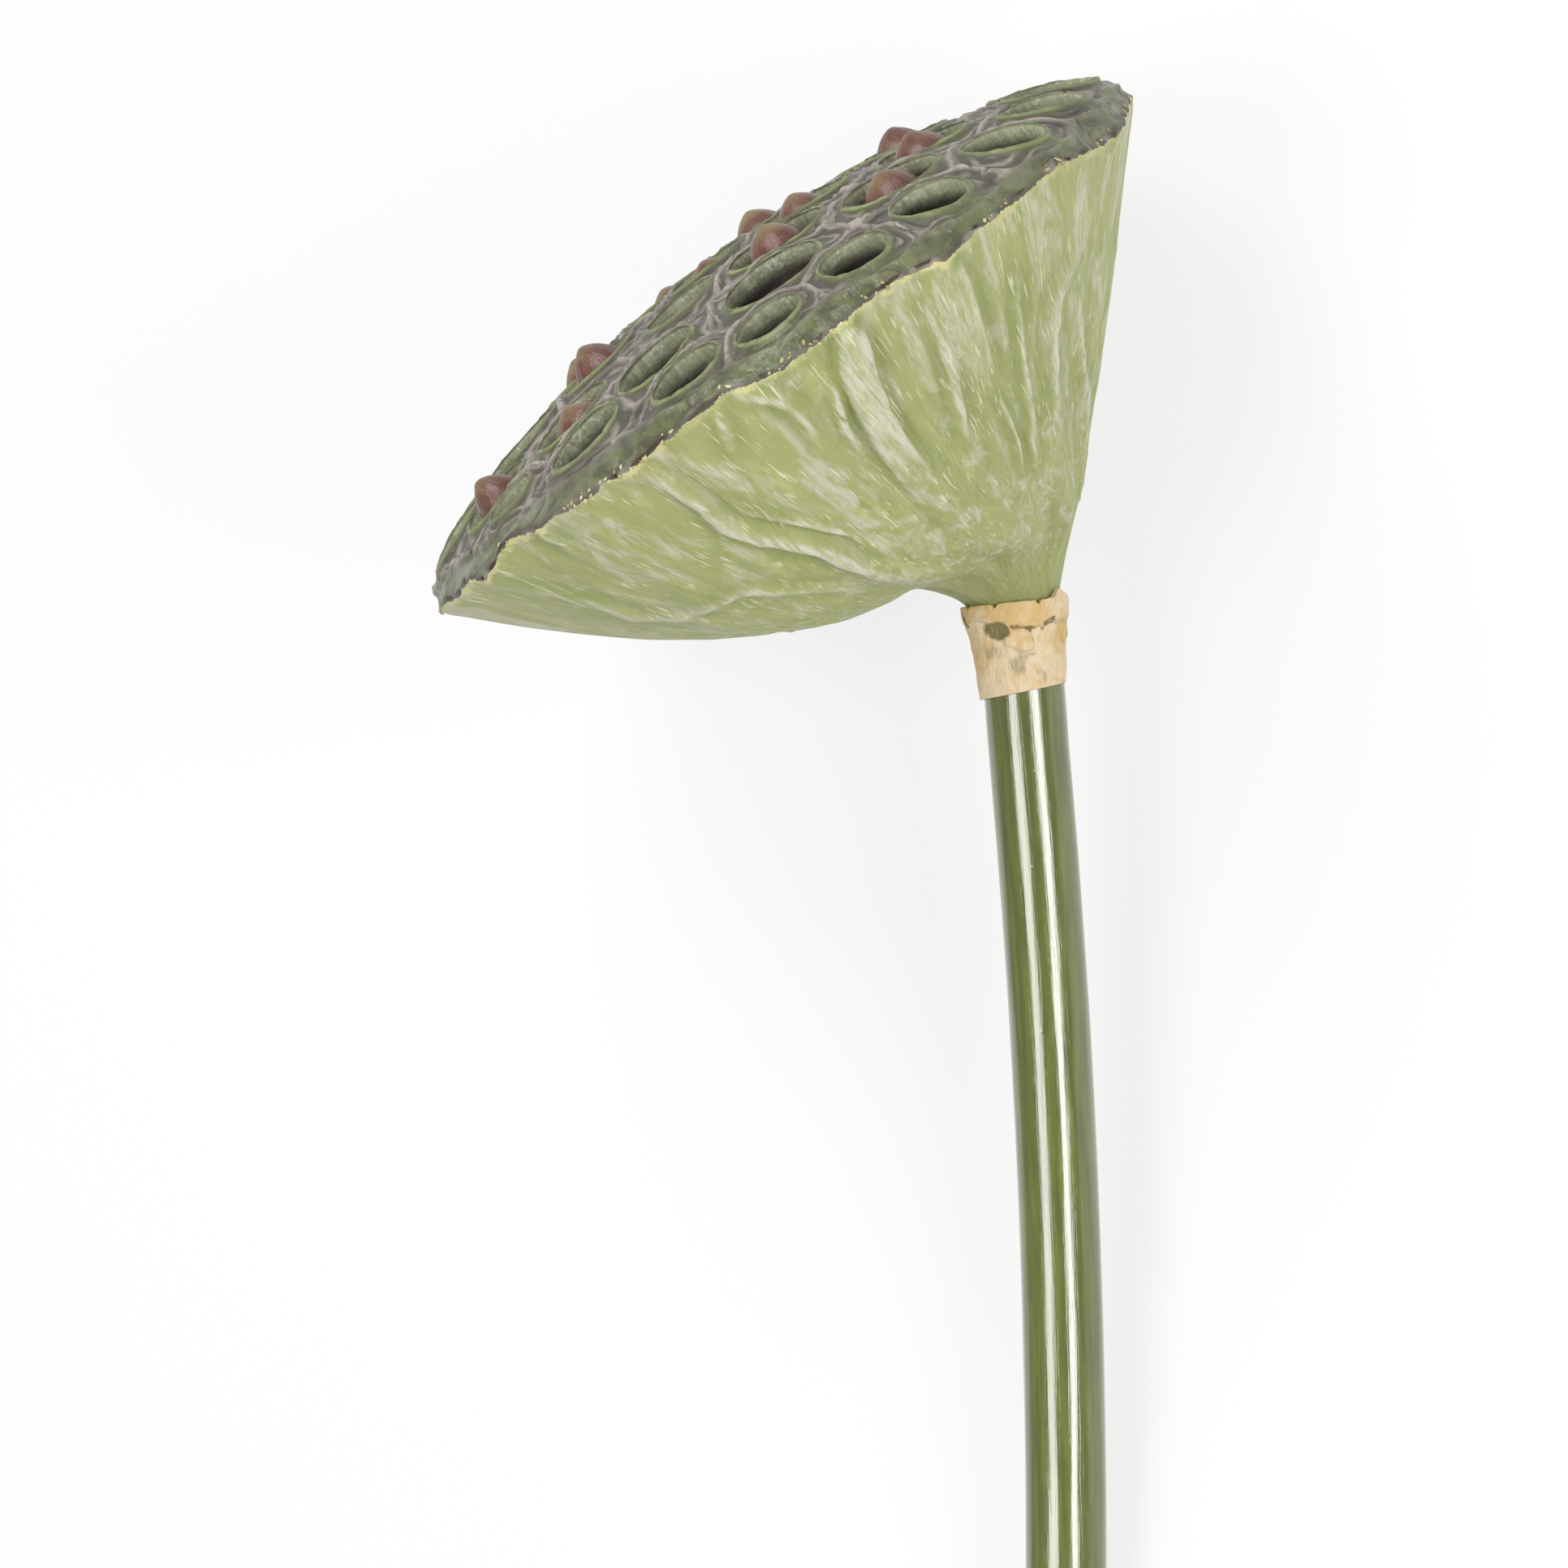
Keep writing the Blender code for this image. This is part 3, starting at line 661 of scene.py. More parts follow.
def fold_relief(old):
    """Height of the ridges and pads on the side, how waxy they are, and where their grooves get painted
    shade.
    """
    x, y, z = old.T
    sway = rough(old, 9, 3.0)
    back = smooth(-2.0, 6.0, y)
    seen = np.stack([x + back * (2.5 + 2.0 * sway), z + 1.8 * back * sway], axis=1)
    seen += 0.25 * rough(old, 2.5, 7.0)[:, None]
    height, wax, groove_shade = np.zeros((3, len(x)))
    for line, wide, high, waxy in RIDGES:
        off, where = along_line(seen, line)
        taper = np.sin(pi * np.clip(where, 0.02, 0.98)) ** 0.6
        groove = bell(off - 2.0 * wide, 0.9 * wide) * taper
        height += high * (bell(off, wide) * taper - 0.5 * groove)
        wax = np.maximum(wax, waxy * bell(off, 0.8 * wide) * taper)
        groove_shade = np.maximum(groove_shade, groove)
    for line, wide, high, waxy in PADS:
        off, where = along_line(seen, line)
        fade = 1 - smooth(0.45, 1.0, where)
        pad = (1 - smooth(0.72 * wide, 1.1 * wide, off)) * fade
        edge = bell(off - 1.25 * wide, 0.7) * fade
        height += high * (pad - 0.6 * edge)
        wax = np.maximum(wax, waxy * pad * (0.6 + 0.4 * smooth(0.4 * wide, 0.9 * wide, off)))
        groove_shade = np.maximum(groove_shade, edge)
    calm = 1 - 0.35 * back
    return height * calm, wax * calm, groove_shade * calm


def rim_distance(points, rim):
    """How far each point is from the line of the rim."""
    on_rim = np.flatnonzero(rim > 0.999)
    tree = kdtree.KDTree(len(on_rim))
    for index in on_rim:
        tree.insert(points[index], int(index))
    tree.balance()
    return np.array([tree.find(p)[2] for p in points])


def pit_distances(plan, pits, away):
    """The middle of each point's nearest pit, how far off its lip is, and the next lip or rim."""
    off = np.stack([np.hypot(*(plan - (x, y)).T) - r for x, y, r in pits])
    centres = np.array([pit[:2] for pit in pits])[off.argmin(axis=0)]
    off.sort(axis=0)
    return centres, off[0], np.minimum(off[1], np.maximum(away - 1.2, 0) * 0.9 + 0.6)


def face_relief(points, look, flat, sunk, away, nearest, gap):
    """Lift of the face: net, lips, slopes, lumpy margin and pit walls, with its layers."""
    fine, coarse = rough(points, 1.1), rough(points, 3.5, 5.0)
    ridge = bell(gap, 0.85) * smooth(0.4, 1.1, nearest)
    lip = bell(nearest, 0.18) * (sunk < 0.04)
    valley = smooth(0.2, 1.9, nearest) * (1 - ridge)
    inside = smooth(0.2, 1.6, away)
    margin = flat * smooth(0.3, 1.2, away) * (1 - smooth(3.0, 5.6, away))
    lift = look.net_height / MM * ridge * (0.8 + 0.6 * coarse)
    lift -= 0.30 * valley
    lift += (0.12 * fine + 0.14 * coarse)
    lift *= flat * inside
    lift += look.lip_height / MM * lip * (0.8 + 0.9 * fine) * np.where(sunk > 0, 1.0, inside)
    lift += margin * (0.38 * np.abs(rough(points, 2.6, 2.0)) + 0.16 * coarse)
    lift += (sunk > 0.03) * smooth(0.03, 0.2, sunk) * 0.05 * rough(points, 0.9, 4.0)
    return lift, {
        "net": flat * ridge * (0.8 + 0.5 * coarse),
        "near": np.where(flat, np.clip(nearest, 0, 6), 0),
        "gap": np.clip(gap, 0, 8),
        "lip": lip * (0.8 + 0.6 * fine),
        "margin": margin,
    }


def side_relief(old, look, grain, side, down, away):
    """Lift of the side: folds and lengthwise streaks, with its layers."""
    drawn = grain * (1, 1, 0.16)
    on_side = smooth(0.0, 1.5, away) * (side > TINY)
    low = smooth(0.72, 0.92, down)
    height, wax, groove_shade = fold_relief(old)
    streaks = rough(drawn, 0.8, 9.0) + 2.0 * rough(drawn, 2.6, 11.0)
    lift = height * (1 - 0.8 * low)
    lift += look.streak_height / MM * streaks * (1 - 0.85 * smooth(0.6, 0.95, down))
    lift *= on_side * (1 - smooth(0.93, 1.0, down))
    return lift, {"wax": wax * on_side, "groove_shade": groove_shade * on_side * (1 - low)}


def shape_flesh(obj, pits, look):
    """Adds the fine relief to the subdivided pod, and stores what its finish reads."""
    points, normals = points_of(obj), normals_of(obj)
    old = grown(points)
    local = over_face(old)
    side, down, sunk, rim = (read_value(obj, n) for n in ("side", "down", "sunk", "rim"))
    on_face = (down < TINY) & (side < TINY)
    neck = over_face(np.zeros(3))
    middle = np.clip(local[:, 2:] / neck[2], 0, 1) * neck[:2]
    turn = np.arctan2(*(local[:, :2] - middle).T[::-1])
    ring, grain = wrapped(turn, 1.0), wrapped(turn, 30, down * 60)
    away = rim_distance(points, rim)
    edge = np.where(side > TINY, away, -away)
    centres, nearest, second = pit_distances(local[:, :2], pits, away)
    flat = on_face & (sunk < TINY)

    off_table = smooth(0.0, 2.5, points[:, 2])
    lift, face_layers = face_relief(points, look, flat, sunk, away, nearest, second - nearest)
    folds, side_layers = side_relief(old, look, grain, side, down, away)
    lift += folds * off_table
    crack = (edge < 0) * bell(away - 0.45, 0.30)
    crack *= smooth(-0.02, 0.35, rough(ring, 0.045, 1.0))
    lift -= 0.45 * crack
    beads = bell(edge - 0.7, 0.5) * (edge > 0)
    lift += 0.26 * beads * (0.5 + 1.1 * rough(ring, 0.012, 6.0)) * off_table

    # The pits widen unevenly towards their lips
    out = local[:, :2] - centres
    out /= np.maximum(np.linalg.norm(out, axis=1), TINY)[:, None]
    widen = np.where(sunk > TINY, 1 - smooth(0.3, 0.8, sunk), bell(nearest, 0.3))
    widen *= on_face | (sunk > TINY)
    places = np.column_stack([centres + out * 3.0, 0 * turn])
    widen *= 0.55 * (0.5 + 0.5 * rough(places, 2.0, 8.0))
    shift = widen[:, None] * out @ (TURN @ FACE_TILT[:, :2]).T

    # The rim line wanders up and down
    wander = 0.55 * rough(ring, 0.14, 12.0) + 0.35 * rough(ring, 0.045, 13.0)
    wander += np.interp(np.degrees(turn), *np.array(SEAM_WAVES).T)
    wander *= bell(away, 2.6) * off_table
    shift += wander[:, None] * (TURN @ FACE_TILT[:, 2])

    place_points(obj, points + normals * lift[:, None] + shift)
    pit = np.column_stack([out * 4.5 + centres, 2.0 * sunk])
    store(obj, edge=edge, crack=crack, grain=grain, pit=pit, **face_layers, **side_layers)


def paint_side(paint, look):
    """Skin of the cone: streaks, bloom, flecks, painted shade in the grooves and the dry line under the
    rim.
    """
    place, grain, down = paint.place(), paint.vector("grain"), paint.value("down")

    def along(scale, squeeze, detail=3, roughness=0.6, twist=0.3):
        return paint.noise(paint.stretched(grain, (1.0, 1.0, squeeze)), scale, detail, roughness, twist)

    fine, patch = paint.noise(place, 900, 3, 0.6), paint.noise(place, 120, 3, 0.55)
    streak, broad = along(1.2, 0.28, 4), along(0.22, 0.6, 4, 0.6, 0.5)
    skin = paint.lay(look.side_dark_and_groove_shade, look.side_green, streak, 0.32, 0.66, 0.30, 1.0)
    skin = paint.lay(skin, look.side_green, broad, 0.36, 0.62, 0.0, 0.8)
    gold = paint.times(paint.between(along(0.5, 0.4, 4), 0.50, 0.66), paint.between(streak, 0.35, 0.6))
    skin = paint.mix(paint.times(gold, 0.65), skin, look.side_gold)

    bloom = paint.between(along(0.30, 0.62, 5, 0.66, 0.9), 0.48, 0.64)
    bloom = paint.times(bloom, paint.between(along(1.9, 0.2, 4, 0.65), 0.38, 0.60, 0.30, 0.85))
    bloom = paint.times(bloom, paint.between(down, 0.60, 0.86, 1.0, 0.15))
    skin = paint.mix(bloom, skin, look.wax)
    # Painted shade: darker green in the grooves beside the ridges and pads
    skin = paint.mix(paint.times(paint.value("groove_shade"), 0.55), skin, look.side_dark_and_groove_shade)
    wax = paint.shaken(paint.value("wax"), along(1.6, 0.4, 5, 0.7, 0.0), 1.1)
    streaky = paint.between(along(2.4, 0.2, 4, 0.7), 0.40, 0.58, 0.25, 0.85)
    wax = paint.times(paint.between(wax, 0.20, 0.80), streaky)
    skin = paint.mix(wax, skin, look.crest)

    body = paint.between(down, 0.74, 0.93, 1.0, 0.25)
    thin = paint.between(along(6.0, 0.11, 1, 0.4, 0.0), 0.61, 0.67)
    where = paint.times(paint.between(along(0.7, 0.6, 2), 0.46, 0.60, 0.0, 0.85), body)
    skin = paint.mix(paint.times(thin, where), skin, look.fleck)
    dark = paint.between(along(3.2, 0.16, 2, 0.5, 0.0), 0.28, 0.36, 0.35, 0.0)
    skin = paint.mix(paint.times(dark, body), skin, look.side_dark_and_groove_shade)

    dry = paint.shaken(paint.value("edge"), paint.noise(place, 420, 5, 0.72), 5.0)
    dry = paint.between(dry, 0.2, 1.2, 1.0, 0.0)
    dry = paint.times(dry, paint.between(patch, 0.35, 0.6, 0.25, 1.0))
    return paint.mix(dry, skin, look.seam), wax, streak, fine


def paint_face(paint, look):
    """Skin of the face: green slopes, grey folds, thin lips, lumpy margin and frosted pits, darkened
    deeper down by painted shade.
    """
    place, sunk, margin = paint.place(), paint.value("sunk"), paint.value("margin")
    near, gap, lip = paint.value("near"), paint.value("gap"), paint.value("lip")
    fine, patch = paint.noise(place, 1100, 4, 0.65), paint.noise(place, 260, 4, 0.6)
    broad, sway = paint.noise(place, 90, 3, 0.6), paint.noise(place, 130, 2, 0.45, 0.4)

    skin = paint.lay(look.face_grey, look.face_dark, patch, 0.35, 0.68)
    slope = paint.between(paint.shaken(near, sway, 3.5), 0.0, 1.5, 0.9, 0.0)
    skin = paint.mix(slope, skin, look.face_green)
    lumps = paint.between(paint.noise(place, 450, 3, 0.6), 0.34, 0.62, 0.3, 1.0)
    lumpy = paint.mix(lumps, look.face_dark, look.margin)
    skin = paint.mix(paint.times(margin, paint.between(patch, 0.3, 0.5, 0.6, 0.95)), skin, lumpy)
    fold = paint.math("SINE", paint.plus(paint.times(gap, 1.9), paint.times(sway, 24.0)))
    fold = paint.times(paint.between(fold, -0.6, 1.0), paint.between(near, 0.3, 1.4))
    grey = paint.times(fold, paint.between(broad, 0.36, 0.60, 0.12, 0.60))
    grey = paint.math("MAXIMUM", grey, paint.between(paint.value("net"), 0.1, 0.9, 0.0, 0.95))
    grey = paint.times(grey, paint.between(fine, 0.25, 0.6, 0.7, 1.1), clamp=True)
    grey = paint.times(grey, paint.between(margin, 0.1, 0.7, 1.0, 0.22))
    skin = paint.mix(grey, skin, look.net)
    skin = paint.mix(paint.times(lip, 0.9, clamp=True), skin, look.lip)
    skin = paint.lay(skin, look.crack, paint.value("crack"), 0.2, 0.55)

    frost = paint.noise(place, 1600, 2, 0.6)
    runs = paint.noise(paint.vector("pit"), 1.5, 3, 0.6)
    wall = paint.lay(look.face_green, look.wall, runs, 0.38, 0.68, 0.62, 1.0)
    frosted = paint.times(paint.between(frost, 0.50, 0.68), paint.between(patch, 0.42, 0.6, 0.1, 0.75))
    wall = paint.mix(frosted, wall, look.crest)
    # Painted shade: the frosted wall darkens to the pit-floor colour deeper down each pit
    wall = paint.lay(wall, look.floor, paint.shaken(sunk, patch, 0.12), 0.03, 0.25)
    return paint.lay(skin, wall, sunk, 0.0, 0.035), frost, fold


def paint_flesh(obj, look):
    """Green streaked skin outside, dark netted face and frosted pits, with painted shade in the grooves
    and deep in the pits.
    """
    paint = Paint("lotus_pod_skin")
    edge = paint.value("edge")
    side, wax, streak, fine = paint_side(paint, look)
    face, frost, fold = paint_face(paint, look)
    jagged = paint.shaken(edge, paint.noise(paint.place(), 520, 4, 0.7), 1.8)
    skin = paint.lay(face, side, jagged, -0.08, 0.08)

    relief = paint.plus(paint.times(streak, 0.6), paint.times(fine, 0.4))
    bump = paint.bump(relief, 0.00030)
    folds = paint.times(fold, paint.between(edge, -0.6, 0.0, 1.0, 0.0))
    bump = paint.bump(folds, 0.00024, bump)
    bump = paint.bump(frost, 0.00008, bump)
    glossy = paint.times(paint.value("margin"), 0.2)
    dull = paint.math("SUBTRACT", paint.between(wax, 0.0, 1.0, 0.50, 0.68), glossy)
    paint.finish(
        obj, Base_Color=skin, Normal=bump, Roughness=dull, Specular_IOR_Level=0.4,
        Subsurface_Weight=0.08, Subsurface_Radius=(0.6 * MM, 1.0 * MM, 0.4 * MM), Subsurface_Scale=1.0,
    )


class LOTUS_OT_flesh(bpy.types.Operator):
    """Makes the spongy pod with its netted face, pits and folded side"""

    bl_idname = "lotus.flesh"
    bl_label = "Pod flesh"

    def execute(self, context):
        look = context.scene.lotus_flesh
        pod = copy_of("pod", "pod_flesh")
        mesh = open_mesh(pod, "sunk", *SIDE_LAYERS)
        pits, lips = find_pits(mesh)
        rim = mark_side(mesh)
        pressed = {
            e: 1.0 for f in mesh.faces if on_table(f)
            for e in f.edges if not all(map(on_table, e.link_faces))
        }
        close_mesh(mesh, pod, {**lips, **rim, **pressed})
        join_triangles(pod)
        cut_side(pod)
        subdivide(pod, 2)
        shape_flesh(pod, pits, look)
        shade_soft(pod)
        paint_flesh(pod, look)
        finish_piece(pod, "pod_flesh", "pod")
        return {"FINISHED"}


# The seeds

DOME_FOOT = 0.52  # share of a seed's height at which its dome starts


def shape_seed(obj, number):
    """Gives the upper half the dome of a lotus nut with its small tip, and faint ribs."""
    points = points_of(obj)
    local = over_face(grown(points))
    along = local[:, 2]
    for _ in range(2):
        up = (along - along.min()) / np.ptp(along)
        foot = local[up < 0.1].mean(0)
        axis = local[up > 0.97].mean(0) - foot
        axis /= np.linalg.norm(axis)
        along = (local - foot) @ axis
    up = (along - along.min()) / np.ptp(along)
    middle = foot + along[:, None] * axis
    out = local - middle
    turn, reach = np.arctan2(out[:, 1], out[:, 0]), np.linalg.norm(out, axis=1)
    above = np.clip((up - DOME_FOOT) / (1 - DOME_FOOT), 0, 1)
    dome = reach.max() * (1 - above**2.3) ** 0.70 / np.maximum(reach, TINY)
    blunt = 1 + (np.clip(dome, 0.5, 1.6) - 1) * smooth(DOME_FOOT, DOME_FOOT + 0.1, up)
    ribs = 1 + 0.012 * np.sin(9 * turn + number) * smooth(0.2, 0.5, up) * (1 - smooth(0.85, 1.0, up))
    uneven = 1 + 0.03 * rough(points, 2.6, number)
    local = middle + out * (blunt * ribs * uneven)[:, None]
    local += axis * (0.35 * smooth(0.6, 1.0, up))[:, None]
    place_points(obj, laid(local @ FACE_TILT.T + FACE_CENTRE))
    store(obj, up=up, coat=wrapped(turn, 4.5, along * 0.3))


def paint_seed(look):
    """Olive-tan at the tip, red-brown flanks and a pinkish bloom towards the foot."""
    paint = Paint("lotus_seed_coat")
    place = paint.place()
    speck = paint.noise(place, 900, 3, 0.6)
    runs = paint.noise(paint.vector("coat"), 1.1, 3, 0.6)
    wavering = paint.shaken(paint.value("up"), paint.noise(place, 190, 3, 0.6), 0.45)
    skin = paint.lay(look.brown, look.olive, wavering, 0.84, 1.02)
    skin = paint.lay(skin, look.wax, wavering, 0.56, 0.70, 0.75, 0.0)
    skin = paint.lay(skin, look.olive, runs, 0.5, 0.7, 0.0, 0.25)
    skin = paint.lay(skin, look.wax, speck, 0.55, 0.8, 0.0, 0.4)
    return paint, skin, paint.bump(speck, 0.00008, paint.bump(runs, 0.0002))


class LOTUS_OT_seeds(bpy.types.Operator):
    """Makes the seeds standing in their pits"""

    bl_idname = "lotus.seeds"
    bl_label = "Seeds"

    def execute(self, context):
        paint, coat, bump = paint_seed(context.scene.lotus_seeds)
        names = sorted(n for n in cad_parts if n.startswith("seed_"))
        for number, node in enumerate(names):
            seed = copy_of(node, f"nut_{node[-2:]}")
            join_triangles(seed)
            subdivide(seed, 2)
            shape_seed(seed, float(number))
            shade_soft(seed)
            paint.finish(seed, Base_Color=coat, Normal=bump, Roughness=0.36, Specular_IOR_Level=0.6,
                         Coat_Weight=0.10, Coat_Roughness=0.25)
            finish_piece(seed, "seed_coat", node)
        return {"FINISHED"}


# The collar


def marked(turn, down, marks):
    """How well each point lies inside any of these marks, from 0 to 1."""
    found = np.zeros(len(turn))
    for at, level, wide, high in marks:
        off = (turn - radians(at) + pi) % tau - pi
        found = np.maximum(found, bell(off, radians(wide)) * bell(down - level, high))
    return found


def shape_collar(obj, look):
    """Two papery layers: a notched upper band with flaps, over a lower sleeve."""
    old = grown(points_of(obj))
    down, turn, reach = about_stem(old)
    ring, wrap = wrapped(turn, 1.0), wrapped(turn, 6.0, down * 0.5)
    skin = reach - np.interp(down, COLLAR_DOWN, COLLAR_RADIUS)
    outer = smooth(-0.15, 0.15, skin + 0.3)
    uneven = down + 0.7 * rough(wrap, 2.2, 5.0) + 0.3 * rough(wrap, 0.8, 7.0)
    leaning = turn + 0.22 * rough(wrap, 1.6, 6.0) + 0.10 * rough(wrap, 0.5, 9.0)
    hollow = smooth(0.22, 0.50, marked(leaning, uneven, HOLLOWS)) * (down < COLLAR_END)
    layer = np.maximum(1 - smooth(2.7, 2.9, uneven), smooth(0.33, 0.50, marked(leaning, uneven, FLAPS)))

    top = 1 - smooth(0.0, 2.2, down)
    notch = marked(turn, 0 * down, [(at, 0, 2.4, 1) for at in NOTCHES])
    spike = marked(turn, 0 * down, [(SPIKE, 0, 6.0, 1)])
    old[:, 2] += top * (0.6 * spike - look.tear / MM * notch + 0.12 * rough(ring, 0.25, 1.0))
    old[:, 2] -= 0.35 * smooth(8.5, COLLAR_END, down)

    crease = rough(wrapped(turn, 6.0, down * 0.35), 1.0, 4.0)
    push = 0.14 * crease + 0.09 * rough(old, 1.3, 8.0) + 0.20 * layer - 0.32 * hollow
    push *= outer
    sleeve = np.maximum(SLEEVE_BORE - reach, 0) * smooth(8.8, 9.8, down) * (1 - outer)
    old[:, :2] += ring[:, :2] * (push + sleeve)[:, None]
    place_points(obj, laid(old))
    stained = smooth(0.15, 0.75, marked(leaning, uneven, STAINS))
    store(obj, layer=layer * outer, hollow=hollow * outer, stained=stained, wrap=wrap)


def paint_collar(obj, look):
    """Dry cream and tan paper with olive hollows and greyish stains."""
    paint = Paint("lotus_collar_paper")
    place, wrap, layer = paint.place(), paint.vector("wrap"), paint.value("layer")
    blotch = paint.noise(place, 230, 4, 0.6, 0.5)
    fibre = paint.noise(wrap, 2.4, 4, 0.65, 0.3)
    speckle = paint.noise(place, 1300, 3, 0.7)
    tanned = paint.plus(blotch, paint.times(layer, 0.10))
    paper = paint.lay(look.paper, look.tan, tanned, 0.46, 0.66)
    paper = paint.lay(paper, look.stain, speckle, 0.55, 0.75, 0.0, 0.25)
    cloudy = paint.between(paint.noise(wrap, 0.9, 5, 0.65, 0.8), 0.60, 0.72, 0.0, 0.6)
    greyed = paint.times(paint.value("stained"), paint.between(fibre, 0.35, 0.6, 0.4, 1.0))
    paper = paint.mix(paint.math("MAXIMUM", greyed, cloudy), paper, look.stain)
    threads = paint.between(fibre, 0.3, 0.55, 0.75, 1.2)
    paper = paint.mix(paint.times(paint.value("hollow"), threads, clamp=True), paper, look.hollow)
    brim = paint.math("ABSOLUTE", paint.math("SUBTRACT", layer, 0.5))
    paper = paint.lay(paper, look.hollow, brim, 0.2, 0.45, 0.28, 0.0)
    height = paint.plus(paint.times(fibre, 0.6), paint.times(blotch, 0.4))
    bump = paint.bump(speckle, 0.00005, paint.bump(height, 0.00045))
    paint.finish(obj, Base_Color=paper, Normal=bump, Roughness=0.55, Specular_IOR_Level=0.45)


class LOTUS_OT_collar(bpy.types.Operator):
    """Makes the papery collar round the joint"""

    bl_idname = "lotus.collar"
    bl_label = "Collar"

    def execute(self, context):
        look = context.scene.lotus_collar
        collar = refined("collar", "collar_paper", 0.6, radians(50), 3)
        shape_collar(collar, look)
        shade_soft(collar)
        paint_collar(collar, look)
        finish_piece(collar, "collar_paper", "collar")
        return {"FINISHED"}


# The stem

# The air canals of the cut end, two wide ones in a ring of narrow ones: right, back and radius
# in millimetres
CANALS = [(1.45, 0.2, 1.05), (-1.45, -0.2, 1.05)]
CANALS += [(3.35 * cos(tau * i / 8 + 0.35), 3.35 * sin(tau * i / 8 + 0.35), 0.62) for i in range(8)]


def cut_canals(stem, depth):
    """Cuts the air canals into the stem's end, as a cut lotus stalk shows them."""
    axis = Vector(TURN @ np.array((0.0, 0.0, 1.0)))
    facing = axis.to_track_quat("Z", "Y").to_euler()
    foot = STEM_PLUMB**2 / (2 * STEM_BEND)
    cutters = []
    for right, back, radius in CANALS:
        centre = laid((foot + right, back, -STEM_END)) * MM
        deselect()
        bpy.ops.mesh.primitive_cylinder_add(
            vertices=20, radius=radius * MM, depth=2 * depth, location=centre, rotation=facing
        )
        cutters.append(bpy.context.object)
    cutter = join_all(cutters)
    only(stem)
    bpy.ops.object.modifier_add(type="BOOLEAN")
    boring = stem.modifiers[-1]
    boring.operation = "DIFFERENCE"
    boring.solver = "EXACT"
    boring.object = cutter
    bpy.ops.object.modifier_apply(modifier=boring.name)
    bpy.data.objects.remove(cutter)


def shape_stem(obj):
    """Faint waves under the gloss, and the shoulder that meets the collar's slanting foot."""
    points, normals = points_of(obj), normals_of(obj)
    old = grown(points)
    down, turn, reach = about_stem(old)
    skin = smooth(4.75, 4.95, reach) * smooth(0.3, 1.5, STEM_END - down)
    skin *= smooth(0.2, 1.5, points[:, 2])
    stretched = wrapped(turn, 5.0, down / 12)
    lift = 0.03 * rough(stretched, 1.2, 1.0)
    raised = (1.05 + 0.5 * np.cos(turn)) * smooth(10.0, 11.3, down)
    raised *= 1 - smooth(12.0, 18.0, down)
    points = points + raised[:, None] * TURN[:, 2]
    place_points(obj, points + normals * (skin * lift)[:, None])
    end = old[:, 2] + STEM_END - (old[:, 0] - stem_line(np.array(STEM_END))) * STEM_CUT
    near_end = 1 - smooth(0.05, 0.25, end)
    canal = (reach < 4.6) & (down > 100)
    store(obj, cut=np.maximum(near_end, canal), skin=stretched)


def paint_stem(obj, look):
    """Dark glossy green skin, pale pith at the cut."""
    paint = Paint("lotus_stem_skin")
    place, skin, cut = paint.place(), paint.vector("skin"), paint.value("cut")
    streak = paint.noise(skin, 1.0, 3, 0.55)
    thin = paint.noise(paint.stretched(skin, (1.0, 1.0, 0.35)), 3.5, 3, 0.6)
    green = paint.lay(look.shade, look.green, streak, 0.3, 0.7)
    green = paint.lay(green, look.shade, thin, 0.5, 0.75, 0.0, 0.4)
    speck = paint.cells(place, 170)
    green = paint.lay(green, look.pith, speck, 0.015, 0.05, 0.4, 0.0)
    pith = paint.lay(look.pith, look.green, paint.noise(place, 1500, 3, 0.6), 0.35, 0.65)
    bump = paint.bump(thin, 0.00003, paint.bump(paint.between(speck, 0.03, 0.08, 1.0, 0.0), 0.00004))
    paint.finish(
        obj, Base_Color=paint.lay(green, pith, cut, 0.4, 0.6), Normal=bump,
        Roughness=paint.between(cut, 0.4, 0.6, look.gloss, 0.7),
        Specular_IOR_Level=0.9, Coat_Weight=0.6, Coat_Roughness=0.06,
    )


class LOTUS_OT_stem(bpy.types.Operator):
    """Makes the smooth stem with its cut end"""

    bl_idname = "lotus.stem"
    bl_label = "Stem"

    def execute(self, context):
        look = context.scene.lotus_stem
        stem = refined("stem", "stem_skin", 0.95, radians(40), 2)
        cut_canals(stem, look.canal_depth)
        shape_stem(stem)
        only(stem)
        bpy.ops.object.shade_smooth_by_angle(angle=radians(40))
        paint_stem(stem, look)
        finish_piece(stem, "stem_skin", "stem")
        return {"FINISHED"}


# The dry crumbs on the rim


